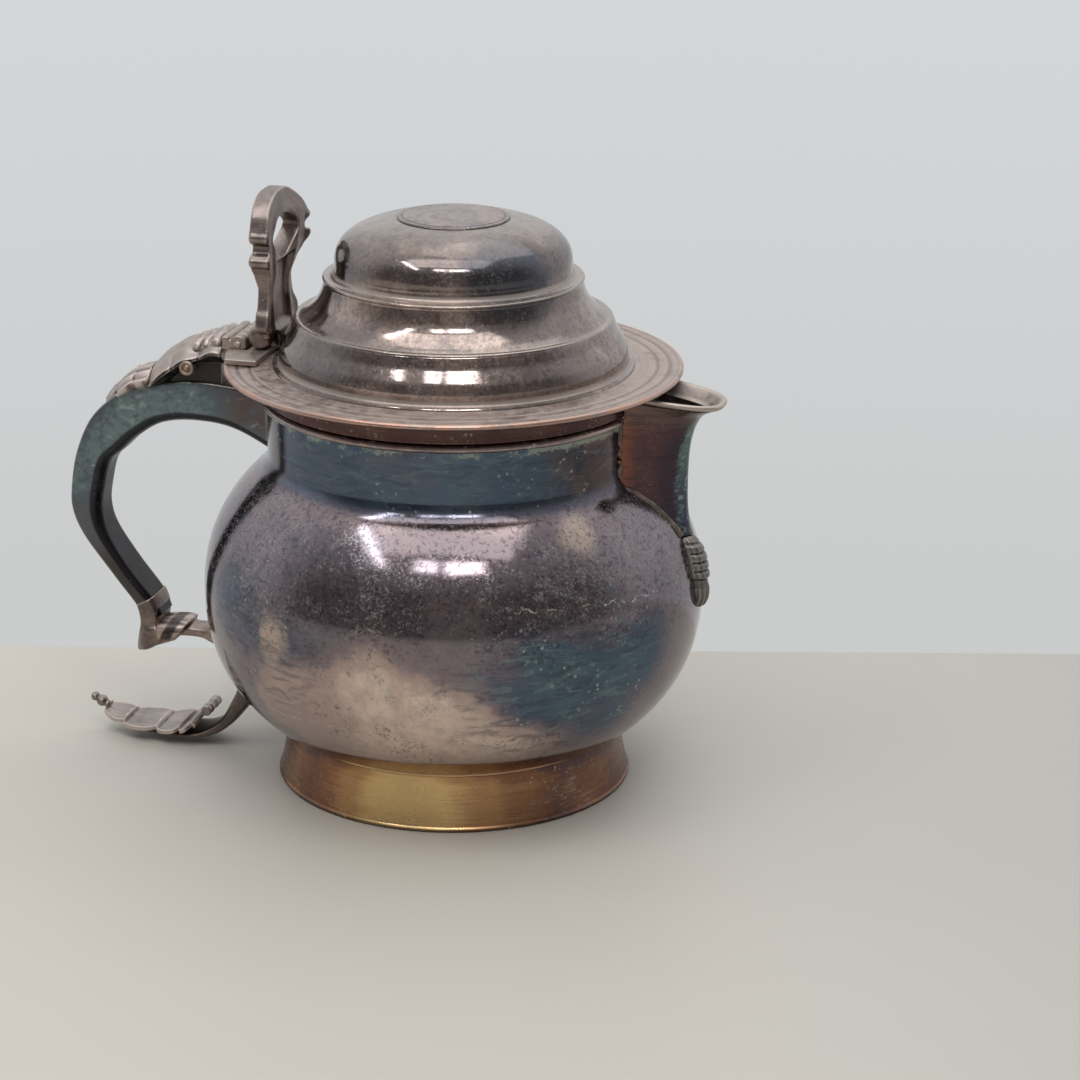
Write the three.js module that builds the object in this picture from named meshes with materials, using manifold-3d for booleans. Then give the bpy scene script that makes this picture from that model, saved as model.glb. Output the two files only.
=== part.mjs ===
// A lidded ale jug of silvered copper: a round belly on a spun foot, a short neck with a stepped,
// domed lid, a beak spout with a cast drop under it, and a large hollow C-scroll handle.
// Millimetres, +Z up. The jug is drawn round its own axis, spout towards +X, handle towards -X,
// and is moved at the end so that the middle of its box stands over the origin.

import * as THREE from 'three';
import { mergeVertices } from 'three/addons/utils/BufferGeometryUtils.js';
import Module from 'manifold-3d';

const wasm = await Module();
wasm.setup();

// General
const GAP = 0.3;              // between two soldered pieces
const WALL = 1.5;             // belly, neck and foot metal
const ROUND = 40;             // sides of the large turned pieces
const SMALL_ROUND = 24;       // sides of the hinge's turned pieces
const PIN_CLEARANCE = 0.06;   // radial, hinge pin in its knuckles

// Foot
const FOOT_HEIGHT = 20.9;
const FOOT_BOTTOM_R = 57.7;
const FOOT_SHOULDER_R = 54.5;
const FOOT_SHOULDER_DROP = 1.9;   // the shoulder's crown below the foot's top
const FOOT_FLANGE = 4.5;          // turned in under the base

// Belly, an oval turned about the jug's axis
const BELLY_R = 80.8;
const BELLY_RISE = 43.25;         // from the base to the widest line
const BELLY_UPPER = 59.1;         // height of the whole upper oval
const BELLY_UPPER_POWER = 2.13;
const BELLY_LOWER = 59.67;
const BELLY_LOWER_POWER = 2.26;
const BASE_EDGE_RISE = 1.3;       // the belly's sharp lower edge above the base
const BASE_EDGE_ROUND = 1.5;

// Neck and rim
const NECK_R = 59.6;
const NECK_HEIGHT = 32.05;        // from the shoulder to the rim
const SHOULDER_OUT = 2.9;         // where the neck's fillet leaves the belly, outside the neck
const NECK_FILLET = 5.65;
const BEAD_DROP = 10.1;           // bead's lower edge below the rim
const BEAD_HEIGHT = 2.1;
const BEAD_OUT = 2.1;
const BAND_OUT = 1.3;             // rim band's metal

// Lid
const LID_CLEARANCE = 0.3;        // brim over the rim
const BRIM_OUT = 13.5;            // brim's edge outside the neck
const BRIM_THICK = 1.9;
const BRIM_HOLE_IN = 5.1;         // the brim's hole inside the neck's wall
const LID_WALL = 1.2;
const BEZEL_R_CLEARANCE = 1.1;
const BEZEL_DEPTH = 5.4;
const BEZEL_WALL = 1.0;
const DOME_FOOT_IN = 2.1;         // dome's foot inside the neck's outer wall
const DOME_FILLET = 1.8;          // from the foot in to the swelling
const STEP_RISE = 14.9;           // first moulding above the brim
const COLLAR_RISE = 22.1;         // foot of the upright collar above the brim
const COLLAR_HEIGHT = 5.9;
const COLLAR_OUT = 3.8;           // collar outside the crown
const LEDGE_RISE = 3.6;           // crown's springing above the collar
const CROWN_R = 37.7;
const CROWN_HEIGHT = 15.5;
const CROWN_POWER = 2.4;
const DISC_R = 17.9;
const DISC_THICK = 0.7;

// Hinge
const HINGE_IN = 4.6;             // hinge axis inside the brim's edge
const KNUCKLE_R = 2.8;
const KNUCKLE_LIFT = 0.4;         // knuckles over the brim
const KNUCKLE_COUNT = 5;
const HINGE_HALF_WIDTH = 11.0;
const KNUCKLE_SIDE_GAP = 0.15;
const PIN_R = 1.0;
const PLATE_THICK = 1.5;
const PLATE_HALF_WIDTH = 24.0;
const PLATE_EDGE_IN = 0.6;        // plate's curved edge inside the brim's
const LEAF_TO_AXIS = 5.8;         // leaf cap's end behind the hinge axis

// Spout
const SPOUT_WALL = 1.2;
const SPOUT_HALF_WIDTH = 17.0;    // at the root line inside the neck
const SPOUT_ROOT_IN = 9.6;        // root line inside the neck's outer wall
const LIP_HALF_WIDTH = 14.0;
const LIP_WIDTH = 2.6;
const LIP_THICK = 2.0;
const LIP_DROP = 1.0;             // lip's top below the rim where it meets the neck
const LIP_SLOPE = 0.13;
const LIP_REACH = 28.7;           // lip's tip outside the neck
const KEEL_PROUD = 2.9;           // least stand of the spout's keel off the belly
const MOUTH_HALF_WIDTH = 12.0;    // hole from the neck into the spout
const MOUTH_TOP_DROP = 6.1;

// Handle
const HANDLE_HALF_WIDTH = 8.0;
const HANDLE_BEVEL = 1.2;
const HANDLE_ROUND = 3.5;
const LEAF_HALF_WIDTH = 11.0;
const CORE_HALF_WIDTH = 6.8;      // leaf cap's core under its edges
const STRUT_BELOW = 24.0;         // strut's middle below the belly's widest line
const TAIL_ROOT_BELOW = 38.0;     // tail's root below the belly's widest line
const CURL_R = 1.9;               // rolled end of the tail's leaf
const CURL_LENGTH = 12.0;
const VOLUTE_R = 2.4;
const VOLUTE_WIDTH = 3.4;
const VOLUTE_PROUD = 0.9;         // outside the leaf cap's edge

// Thumbpiece
const THUMB_THICK = 5.2;
const THUMB_TO_DOME = 0.4;        // its front to the dome's fillet
const THUMB_LEAN = 3.4;           // its top behind its foot
const THUMB_HEIGHT = 50.6;
const THUMB_ROLL_R = 4.0;         // rolled foot, in front of the knuckles
const THUMB_ROLL_LENGTH = 24.0;
const THUMB_ROLL_GAP = 0.4;

// Heights and radii that follow from the sizes above
const BASE_Z = FOOT_HEIGHT + GAP;
const BELLY_Z = BASE_Z + BELLY_RISE;
const EDGE_Z = BASE_Z + BASE_EDGE_RISE;

function bellyRadius(z, inset = 0) {
  const above = z > BELLY_Z;
  const height = (above ? BELLY_UPPER : BELLY_LOWER) - inset;
  const power = above ? BELLY_UPPER_POWER : BELLY_LOWER_POWER;
  const share = Math.min(1, Math.abs(z - BELLY_Z) / height);
  return (BELLY_R - inset) * Math.pow(1 - Math.pow(share, power), 1 / power);
}

function bellyHeightAbove(r) {
  const share = Math.pow(r / BELLY_R, BELLY_UPPER_POWER);
  return BELLY_Z + BELLY_UPPER * Math.pow(1 - share, 1 / BELLY_UPPER_POWER);
}

const SHOULDER_Z = bellyHeightAbove(NECK_R + SHOULDER_OUT);
const NECK_Z = SHOULDER_Z + NECK_FILLET;
const RIM_Z = SHOULDER_Z + NECK_HEIGHT;
const BRIM_Z = RIM_Z + LID_CLEARANCE;
const BRIM_TOP = BRIM_Z + BRIM_THICK;
const BRIM_R = NECK_R + BRIM_OUT;
const HINGE_X = -(BRIM_R - HINGE_IN);
const HINGE_Z = BRIM_TOP + KNUCKLE_LIFT + KNUCKLE_R;
const PLATE_Z = BRIM_TOP + GAP;
const PLATE_TOP = PLATE_Z + PLATE_THICK;
const DOME_Z = BRIM_TOP + GAP;
const DOME_R = NECK_R - DOME_FOOT_IN;
const PLATE_END_X = -(DOME_R + 0.7);
const LEAF_END_X = HINGE_X - LEAF_TO_AXIS;
const COLLAR_R = CROWN_R + COLLAR_OUT;
const CROWN_Z = DOME_Z + COLLAR_RISE + COLLAR_HEIGHT + LEDGE_RISE;

// Solids

function solidOf(geometry) {
  const bare = geometry.index ? geometry.toNonIndexed() : geometry.clone();
  for (const name of Object.keys(bare.attributes)) {
    if (name !== 'position') bare.deleteAttribute(name);
  }
  const merged = mergeVertices(bare, 1e-4);
  const index = merged.index.array;
  const corners = merged.attributes.position;
  const faces = [];
  let volume = 0;
  const [a, b, c] = [new THREE.Vector3(), new THREE.Vector3(), new THREE.Vector3()];
  for (let k = 0; k < index.length; k += 3) {
    const [i, j, l] = [index[k], index[k + 1], index[k + 2]];
    if (i === j || j === l || l === i) continue;
    a.fromBufferAttribute(corners, i);
    b.fromBufferAttribute(corners, j);
    c.fromBufferAttribute(corners, l);
    volume += a.dot(b.clone().cross(c));
    faces.push(i, j, l);
  }
  if (volume < 0) {
    for (let k = 0; k < faces.length; k += 3) {
      [faces[k], faces[k + 1]] = [faces[k + 1], faces[k]];
    }
  }
  return new wasm.Manifold(new wasm.Mesh({
    numProp: 3,
    vertProperties: new Float32Array(corners.array),
    triVerts: new Uint32Array(faces),
  }));
}

function geometryOf(solid) {
  const mesh = solid.getMesh();
  const geometry = new THREE.BufferGeometry();
  geometry.setAttribute('position', new THREE.BufferAttribute(new Float32Array(mesh.vertProperties), 3));
  geometry.setIndex(new THREE.BufferAttribute(new Uint32Array(mesh.triVerts), 1));
  geometry.computeVertexNormals();
  return geometry;
}

const joined = (solids) => solids.reduce((all, one) => all.add(one));
const cutBy = (solid, cutters) => cutters.reduce((rest, one) => rest.subtract(one), solid);

// A profile of [radius, height] points turned about the Z axis
function turned(profile, sides = ROUND) {
  const outline = profile.map(([r, z]) => new THREE.Vector2(Math.max(r, 0), z));
  const geometry = new THREE.LatheGeometry(outline, sides);
  geometry.rotateX(Math.PI / 2);
  return solidOf(geometry);
}

// A closed ring: the profile comes back to its first point
const turnedRing = (profile, sides = ROUND) => turned([...profile, profile[0]], sides);

// A rod on the hinge's axis
function rod(radius, y0, y1) {
  const line = [[0, y0], [radius, y0], [radius, y1], [0, y1]];
  const geometry = new THREE.LatheGeometry(line.map(([r, y]) => new THREE.Vector2(r, y)), SMALL_ROUND);
  geometry.translate(HINGE_X, 0, HINGE_Z);
  return solidOf(geometry);
}

function block(x0, x1, y0, y1, z0, z1) {
  const geometry = new THREE.BoxGeometry(x1 - x0, y1 - y0, z1 - z0);
  geometry.translate((x0 + x1) / 2, (y0 + y1) / 2, (z0 + z1) / 2);
  return solidOf(geometry);
}

// A shape of [y, z] points, with holes, made into a plate from x0 to x1; the lean moves it along X
// by a function of z
function plateAcross(outline, holes, x0, x1, lean = () => 0) {
  const shape = new THREE.Shape(outline.map(([y, z]) => new THREE.Vector2(y, z)));
  for (const hole of holes) {
    shape.holes.push(new THREE.Path(hole.map(([y, z]) => new THREE.Vector2(y, z))));
  }
  const geometry = new THREE.ExtrudeGeometry(shape, { depth: x1 - x0, bevelEnabled: false });
  geometry.applyMatrix4(new THREE.Matrix4().set(0, 0, 1, x0, 1, 0, 0, 0, 0, 1, 0, 0, 0, 0, 0, 1));
  const place = geometry.attributes.position;
  for (let k = 0; k < place.count; k += 1) place.setX(k, place.getX(k) + lean(place.getZ(k)));
  return solidOf(geometry);
}

// A shape of [x, y] points made into a flat plate from z0 to z1
function plateFlat(outline, z0, z1) {
  const shape = new THREE.Shape(outline.map(([x, y]) => new THREE.Vector2(x, y)));
  const geometry = new THREE.ExtrudeGeometry(shape, { depth: z1 - z0, bevelEnabled: false });
  geometry.translate(0, 0, z0);
  return solidOf(geometry);
}

// A skin over rings with the same number of points, closed at both ends by a fan
function loft(rings) {
  const count = rings[0].length;
  const points = rings.flat();
  const faces = [];
  for (let k = 0; k + 1 < rings.length; k += 1) {
    for (let i = 0; i < count; i += 1) {
      const a = k * count + i;
      const b = k * count + ((i + 1) % count);
      faces.push(a, b, b + count, a, b + count, a + count);
    }
  }
  const ends = [[rings[0], 0, false], [rings.at(-1), (rings.length - 1) * count, true]];
  for (const [ring, start, turn] of ends) {
    const middle = ring.reduce((sum, p) => sum.add(p), new THREE.Vector3()).divideScalar(count);
    points.push(middle);
    const hub = points.length - 1;
    for (let i = 0; i < count; i += 1) {
      const a = start + i;
      const b = start + ((i + 1) % count);
      faces.push(...(turn ? [hub, a, b] : [hub, b, a]));
    }
  }
  const geometry = new THREE.BufferGeometry();
  const places = points.flatMap((p) => [p.x, p.y, p.z]);
  geometry.setAttribute('position', new THREE.Float32BufferAttribute(places, 3));
  geometry.setIndex(faces);
  return solidOf(geometry);
}

// A bar in the X-Z plane. Each station is [outer point, inner point]; the section gives points
// of [depth below the outer line, y] for a thickness and a share of the length.
function bar(stations, steps, section) {
  const outer = new THREE.SplineCurve(stations.map(([p]) => new THREE.Vector2(...p)));
  const inner = new THREE.SplineCurve(stations.map(([, p]) => new THREE.Vector2(...p)));
  const rings = [];
  for (let k = 0; k <= steps; k += 1) {
    const share = k / steps;
    const from = outer.getPoint(share);
    const across = inner.getPoint(share).sub(from);
    const thick = across.length();
    across.normalize();
    rings.push(section(thick, share).map(
      ([depth, y]) => new THREE.Vector3(from.x + across.x * depth, y, from.y + across.y * depth)));
  }
  return loft(rings);
}

// Value at a share of the way along a short list
function along(values, share) {
  const place = Math.min(share * (values.length - 1), values.length - 1 - 1e-9);
  const k = Math.floor(place);
  return values[k] + (values[k + 1] - values[k]) * (place - k);
}

// Places by the neck's wall and the rim, and by the belly's wall at the strut
const STRUT_Z = BELLY_Z - STRUT_BELOW;
const STRUT_R = bellyRadius(STRUT_Z);
const byNeck = (out, drop) => [-(NECK_R + out), RIM_Z - drop];
const byBelly = (out, rise) => [-(STRUT_R + out), STRUT_Z + rise];

// Body

function bellyLine(inset, from, to, count) {
  const line = [];
  for (let k = 0; k <= count; k += 1) {
    const swing = (x) => Math.asin(Math.max(-1, Math.min(1, (x - BELLY_Z) / (BELLY_UPPER - inset))));
    const angle = swing(from) + ((swing(to) - swing(from)) * k) / count;
    const z = BELLY_Z + Math.sin(angle) * (BELLY_UPPER - inset);
    line.push([bellyRadius(z, inset), z]);
  }
  return line;
}

function neckFillet(inset) {
  const start = new THREE.Vector2(NECK_R + SHOULDER_OUT - inset, SHOULDER_Z - inset / 2);
  const corner = new THREE.Vector2(NECK_R - inset, SHOULDER_Z + SHOULDER_OUT - inset / 2);
  const end = new THREE.Vector2(NECK_R - inset, NECK_Z);
  return new THREE.QuadraticBezierCurve(start, corner, end).getPoints(3).map((p) => [p.x, p.y]);
}

// The body as a full lump, grown by a gap: what is soldered on is cut back to it
function bodyLump(grow, top = RIM_Z + 20) {
  return turned([
    [0, BASE_Z - grow],
    [bellyRadius(EDGE_Z) - BASE_EDGE_ROUND + grow, BASE_Z - grow],
    ...bellyLine(-grow, EDGE_Z, SHOULDER_Z, 16),
    ...neckFillet(-grow).slice(1),
    [NECK_R + grow, top],
    [0, top],
  ]);
}

const BODY_KEEP_OUT = bodyLump(GAP);

function bodyShell() {
  const shell = turned([
    [0, BASE_Z],
    [bellyRadius(EDGE_Z) - BASE_EDGE_ROUND, BASE_Z],
    ...bellyLine(0, EDGE_Z, SHOULDER_Z, 16),
    ...neckFillet(0).slice(1),
    [NECK_R, RIM_Z],
    [NECK_R - WALL, RIM_Z],
    ...neckFillet(WALL).reverse(),
    ...bellyLine(WALL, EDGE_Z + WALL, SHOULDER_Z - WALL / 2, 11).reverse().slice(1),
    [0, BASE_Z + WALL],
  ]);
  const throat = RIM_Z - MOUTH_TOP_DROP;
  const sill = NECK_Z - 1;
  const low = SHOULDER_Z - 6;
  const mouth = [
    [-MOUTH_HALF_WIDTH, throat], [-MOUTH_HALF_WIDTH, sill], [-MOUTH_HALF_WIDTH / 3, low],
    [MOUTH_HALF_WIDTH / 3, low], [MOUTH_HALF_WIDTH, sill], [MOUTH_HALF_WIDTH, throat],
  ];
  return shell.subtract(plateAcross(mouth, [], NECK_R / 2, BELLY_R));
}

function footRing() {
  const shoulder = FOOT_HEIGHT - FOOT_SHOULDER_DROP;
  const flare = FOOT_BOTTOM_R - FOOT_SHOULDER_R;
  const outer = [
    [FOOT_BOTTOM_R, 0], [FOOT_BOTTOM_R, 0.9], [FOOT_BOTTOM_R - 0.5, 1.3],
    [FOOT_SHOULDER_R + flare * 0.5, shoulder * 0.34], [FOOT_SHOULDER_R + flare * 0.2, shoulder * 0.64],
    [FOOT_SHOULDER_R, shoulder - 1.6], [FOOT_SHOULDER_R - 0.3, shoulder - 0.4],
    [FOOT_SHOULDER_R - 1.2, shoulder + 0.2], [FOOT_SHOULDER_R - 1.7, FOOT_HEIGHT],
  ];
  const inner = [
    [FOOT_SHOULDER_R - 1.7 - FOOT_FLANGE, FOOT_HEIGHT],
    [FOOT_SHOULDER_R - 1.7 - FOOT_FLANGE, FOOT_HEIGHT - WALL],
    [FOOT_SHOULDER_R - WALL - 1.4, FOOT_HEIGHT - WALL], [FOOT_SHOULDER_R - WALL, shoulder - 2.4],
    [FOOT_SHOULDER_R + flare * 0.4 - WALL, shoulder * 0.4], [FOOT_BOTTOM_R - WALL - 0.3, 0],
  ];
  return turnedRing([...outer, ...inner]);
}

// The spout's outside as a full lump: a keel line with a rounded V-shaped section behind it
const SPOUT_ROOT = NECK_R - SPOUT_ROOT_IN;

// Each row: how far the keel stands out of the neck, its drop below the rim,
// the section's power (2 is a flat-sided V, 1 an ellipse) and the share of the lip's form
const KEEL = [
  [19.1, 48.7, 1.5, 0], [17.9, 44.4, 1.5, 0], [17.2, 37.8, 1.5, 0], [17.1, 31.2, 1.5, 0],
  [17.2, 26.2, 1.45, 0], [17.5, 21.3, 1.35, 0.1], [18.1, 17.3, 1.25, 0.3], [19.6, 12.9, 1.1, 0.6],
  [22.4, 9.2, 0.9, 0.85], [26.4, 7.1, 0.7, 1],
];

// The keel's place in a row, clear of the belly
const keelX = ([out, drop]) => Math.max(NECK_R + out, bellyRadius(RIM_Z - drop) + KEEL_PROUD);

function spoutRing([out, drop, power, lip], inset) {
  const reach = keelX([out, drop]) - SPOUT_ROOT - inset;
  const half = SPOUT_HALF_WIDTH + (LIP_HALF_WIDTH - SPOUT_HALF_WIDTH) * lip - inset;
  const z = RIM_Z - drop;
  const ring = [];
  const sides = 10;
  for (let k = -sides; k <= sides; k += 1) {
    const angle = (k / sides) * (Math.PI / 2);
    const x = reach * Math.pow(Math.abs(Math.cos(angle)), power);
    const y = half * Math.sign(angle) * Math.pow(Math.abs(Math.sin(angle)), power);
    ring.push(new THREE.Vector3(SPOUT_ROOT + x, y, z + lip * LIP_SLOPE * (reach - x)));
  }
  return ring;
}

function spoutShell() {
  const outside = loft(KEEL.map((row) => spoutRing(row, 0)));
  const hollow = KEEL.slice(1).map((row) => spoutRing(row, SPOUT_WALL));
  const above = hollow.at(-1).map((p) => p.clone().setZ(p.z + 3));
  const back = block(NECK_R / 2, SPOUT_ROOT + 0.5, -BELLY_R, BELLY_R, 0, RIM_Z + 9);
  return cutBy(outside, [loft([...hollow, above]), back, BODY_KEEP_OUT]);
}

function lipOutline(inset) {
  const reach = NECK_R + LIP_REACH - SPOUT_ROOT - inset;
  const half = LIP_HALF_WIDTH + 0.5 - inset;
  const outline = [];
  const sides = 14;
  for (let k = -sides; k <= sides; k += 1) {
    const angle = (k / sides) * (Math.PI / 2);
    const x = reach * Math.pow(Math.abs(Math.cos(angle)), 0.7);
    outline.push([SPOUT_ROOT + x, half * Math.sign(angle) * Math.pow(Math.abs(Math.sin(angle)), 0.7)]);
  }
  return outline;
}

function spoutLip() {
  const top = RIM_Z - LIP_DROP;
  const ring = (inset, lift) => lipOutline(inset).map(
    ([x, y]) => new THREE.Vector3(x, y, top + lift - LIP_SLOPE * (x - NECK_R)));
  const outside = loft([ring(0.4, -LIP_THICK), ring(0, -LIP_THICK / 2), ring(0.5, 0)]);
  const inside = loft([ring(LIP_WIDTH, -LIP_THICK - 1), ring(LIP_WIDTH, 1)]);
  const back = block(NECK_R / 2, SPOUT_ROOT + 0.5, -BELLY_R, BELLY_R, 0, RIM_Z + 9);
  const collar = turned([[0, 0], [NECK_R + BAND_OUT + GAP * 2, 0], [NECK_R + BAND_OUT + GAP * 2, RIM_Z + 9],
    [0, RIM_Z + 9]]);
  return cutBy(outside, [inside, back, collar]);
}

// The cast drop, from the keel's foot down the belly: rows of how far its front stands off the belly,
// drop below the keel's foot, half-width
const DROP_ROWS = [
  [3.0, 0.7, 2.6], [4.3, 3.0, 3.6], [4.6, 6.2, 4.3], [4.4, 10.5, 4.4], [4.2, 14.0, 3.8], [3.6, 15.6, 2.8],
  [3.7, 17.8, 3.1], [3.4, 20.8, 2.8], [2.5, 23.4, 1.8], [0.3, 24.3, 0.7],
];

function spoutDrop() {
  const [, keelDrop] = KEEL[0];
  const rings = DROP_ROWS.map(([proud, drop, half]) => {
    const z = RIM_Z - keelDrop - drop;
    const x = bellyRadius(z) + proud;
    const deep = 12;
    const ring = [];
    for (let k = 0; k < 12; k += 1) {
      const angle = (k / 12) * Math.PI * 2;
      const front = Math.cos(angle) > 0;
      ring.push(new THREE.Vector3(
        x - 4 + (front ? 4 : deep) * Math.cos(angle), half * Math.sin(angle), z));
    }
    return ring;
  });
  return loft(rings).subtract(BODY_KEEP_OUT);
}

// Neck mouldings, open where the spout joins

function neckBead() {
  const low = RIM_Z - BEAD_DROP;
  const middle = low + BEAD_HEIGHT / 2;
  const inner = NECK_R + GAP;
  const outline = [[inner, low]];
  for (let k = 1; k < 6; k += 1) {
    const angle = -Math.PI / 2 + (Math.PI * k) / 6;
    outline.push([inner + (BEAD_OUT - GAP) * Math.cos(angle), middle + (BEAD_HEIGHT / 2) * Math.sin(angle)]);
  }
  outline.push([inner, low + BEAD_HEIGHT]);
  return turnedRing(outline).subtract(spoutKeepOut());
}

function spoutKeepOut() {
  const grown = KEEL.map((row) => spoutRing(row, -GAP));
  const above = grown.at(-1).map((p) => p.clone().setZ(p.z + 9));
  return loft([...grown, above]);
}

function rimBand() {
  const low = RIM_Z - BEAD_DROP + BEAD_HEIGHT + GAP;
  const inner = NECK_R + GAP;
  const outer = NECK_R + BAND_OUT;
  const band = turnedRing([
    [inner, low], [outer, low], [outer, RIM_Z - 0.4], [outer - 0.4, RIM_Z], [inner, RIM_Z],
  ]);
  const lipZ = RIM_Z - LIP_DROP + GAP;
  const window = block(NECK_R / 2, BELLY_R, -LIP_HALF_WIDTH - GAP, LIP_HALF_WIDTH + GAP, low - 3, lipZ);
  return band.subtract(window);
}

// Handle

const HANDLE_LINE = [
  [byNeck(-6, 12.0), byNeck(-6, 34.5)],
  [byNeck(12.4, 9.7), byNeck(11.9, 25.3)],
  [byNeck(26.4, 9.0), byNeck(25.9, 23.2)],
  [byNeck(40.4, 11.0), byNeck(37.7, 24.7)],
  [byNeck(51.9, 15.3), byNeck(46.4, 29.9)],
  [byNeck(61.4, 23.9), byNeck(52.2, 35.3)],
  [byNeck(67.0, 35.9), byNeck(57.2, 40.4)],
  [byNeck(69.3, 47.9), byNeck(59.4, 48.4)],
  [byBelly(52.7, 39.1), byBelly(44.5, 38.6)],
  [byBelly(48.7, 30.1), byBelly(44.1, 33.2)],
  [byBelly(38.8, 17.0), byBelly(34.4, 20.1)],
  [byBelly(31.6, 7.6), byBelly(26.3, 9.9)],
  [byBelly(30.1, 2.2), byBelly(23.4, 4.2)],
];

// Flat sides, a small bevel on the outer edges and well-rounded inner edges
function handleSection(grow) {
  return (thick) => {
    const half = HANDLE_HALF_WIDTH + grow;
    const round = Math.min(HANDLE_ROUND, thick * 0.45);
    const side = [
      [-grow, half - HANDLE_BEVEL], [HANDLE_BEVEL - grow, half], [thick + grow - round, half],
      [thick + grow - round * 0.35, half - round * 0.35], [thick + grow, half - round],
    ];
    return [...side, ...side.map(([depth, y]) => [depth, -y]).reverse()];
  };
}

const handleLump = (grow) => bar(HANDLE_LINE, 40, handleSection(grow));
const handleScroll = () => handleLump(0).subtract(BODY_KEEP_OUT);

// An oval section, half-widths given along the length
const ovalSection = (widths, sides = 12) => (thick, share) => {
  const half = along(widths, share);
  const ring = [];
  for (let k = 0; k < sides; k += 1) {
    const angle = (k / sides) * Math.PI * 2;
    ring.push([(thick / 2) * (1 - Math.cos(angle)), half * Math.sin(angle)]);
  }
  return ring;
};

const BEAK_LINE = [
  [byBelly(33.6, -9.4), byBelly(33.2, -10.8)],
  [byBelly(31.9, -3.8), byBelly(29.2, -9.4)],
  [byBelly(29.8, 1.6), byBelly(25.9, -7.6)],
  [byBelly(25.6, 2.1), byBelly(22.4, -6.2)],
];
const BEAK_HALF_WIDTHS = [1.5, 6.5, 7.6, 7.6];

const handleBeak = () => bar(BEAK_LINE, 9, ovalSection(BEAK_HALF_WIDTHS));

// The strut from the beak to the belly: a leaf, then a narrower foot that spreads on the belly
const STRUT_LINE = [
  [byBelly(25.2, 2.2), byBelly(22.0, -5.5)],
  [byBelly(19.7, 2.6), byBelly(17.3, -3.9)],
  [byBelly(14.8, 2.6), byBelly(13.7, -3.0)],
  [byBelly(13.6, 0.8), byBelly(12.6, -2.9)],
  [byBelly(9.0, 0.9), byBelly(8.8, -3.8)],
  [byBelly(4.0, 1.4), byBelly(4.5, -5.4)],
  [byBelly(-8.0, 1.4), byBelly(-8.0, -7.0)],
];
const STRUT_HALF_WIDTHS = [7.6, 7.4, 6.6, 5.0, 4.8, 6.4, 7.5];

const handleStrut = () => bar(STRUT_LINE, 18, ovalSection(STRUT_HALF_WIDTHS)).subtract(BODY_KEEP_OUT);

// A dished or domed leaf: full thickness in the middle, thin and lower at the edges
const domedSection = (widths, fall, edge) => (thick, share) => {
  const half = along(widths, share);
  const steps = 6;
  const top = [];
  for (let k = 0; k <= steps; k += 1) {
    const y = -1 + (2 * k) / steps;
    top.push([fall * y * y, y * half]);
  }
  return [...top, [fall + edge, half], [thick, half * 0.5], [thick, -half * 0.5], [fall + edge, -half]];
};

const LEAF_TIP_LINE = [
  [byNeck(59.1, 18.8), byNeck(57.5, 21.5)],
  [byNeck(56.3, 15.1), byNeck(53.4, 19.4)],
  [byNeck(50.7, 9.5), byNeck(48.4, 16.0)],
  [byNeck(45.2, 6.3), byNeck(43.8, 14.2)],
  [byNeck(40.9, 5.4), byNeck(40.2, 12.8)],
];
const LEAF_TIP_WIDTHS = [3.5, 8.0, 11.0, 11.5, 11.0];

const leafTip = () => bar(LEAF_TIP_LINE, 10, domedSection(LEAF_TIP_WIDTHS, 3.6, 1.2))
  .subtract(handleLump(GAP));

// The leaf cap's hinge end outside the neck
const END_OUT = -LEAF_END_X - NECK_R;
const LEAF_CAP_LINE = [
  [byNeck(40.2, 5.0), byNeck(40.2, 12.0)],
  [byNeck(36.6, 1.1), byNeck(35.4, 10.6)],
  [byNeck(32.7, -1.7), byNeck(31.4, 7.6)],
  [byNeck(28.3, -4.3), byNeck(27.6, 4.2)],
  [byNeck(END_OUT + 7.9, -5.6), byNeck(END_OUT + 8.3, 2.8)],
  [byNeck(END_OUT + 2.6, -7.9), byNeck(END_OUT + 3.7, 2.4)],
  [byNeck(END_OUT, -7.4), byNeck(END_OUT, 2.3)],
];
const LEAF_CAP_WIDTHS = [10.5, 11.5, 11.5, 11.0, 10.8, 11.0, 11.0];

// The rolled volute let into each side of the leaf cap
function volute(side, grow = 0) {
  const [x, z] = byNeck(26.4, 3.6);
  const near = LEAF_HALF_WIDTH + VOLUTE_PROUD - VOLUTE_WIDTH - grow;
  const far = LEAF_HALF_WIDTH + VOLUTE_PROUD + grow;
  const radius = VOLUTE_R + grow;
  const line = [[0, near], [radius, near], [radius, far - 0.8], [radius - 0.8, far], [0, far]];
  const geometry = new THREE.LatheGeometry(line.map(([r, y]) => new THREE.Vector2(r, y)), 16);
  if (side < 0) geometry.rotateX(Math.PI);
  geometry.translate(x, 0, z);
  return solidOf(geometry);
}

// The cap's core, set back under its edges, fills down to the handle
const CORE_LINE = [
  [byNeck(35.5, 6.5), byNeck(35.8, 12.0)],
  [byNeck(31.0, 3.4), byNeck(31.0, 11.0)],
  [byNeck(26.0, 1.0), byNeck(26.0, 10.5)],
  [byNeck(END_OUT + 6.0, 0.6), byNeck(END_OUT + 6.0, 10.5)],
  [byNeck(END_OUT + 1.3, 0.6), byNeck(END_OUT + 1.3, 11.0)],
];
const coreSection = (thick) => [
  [0, -CORE_HALF_WIDTH], [0, CORE_HALF_WIDTH], [thick, CORE_HALF_WIDTH], [thick, -CORE_HALF_WIDTH],
];

function leafCap() {
  const leaf = bar(LEAF_CAP_LINE, 16, domedSection(LEAF_CAP_WIDTHS, 4.4, 1.8))
    .add(bar(CORE_LINE, 8, coreSection));
  return cutBy(leaf, [handleLump(GAP), volute(1, GAP), volute(-1, GAP)]);
}

// Tail bracket

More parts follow.
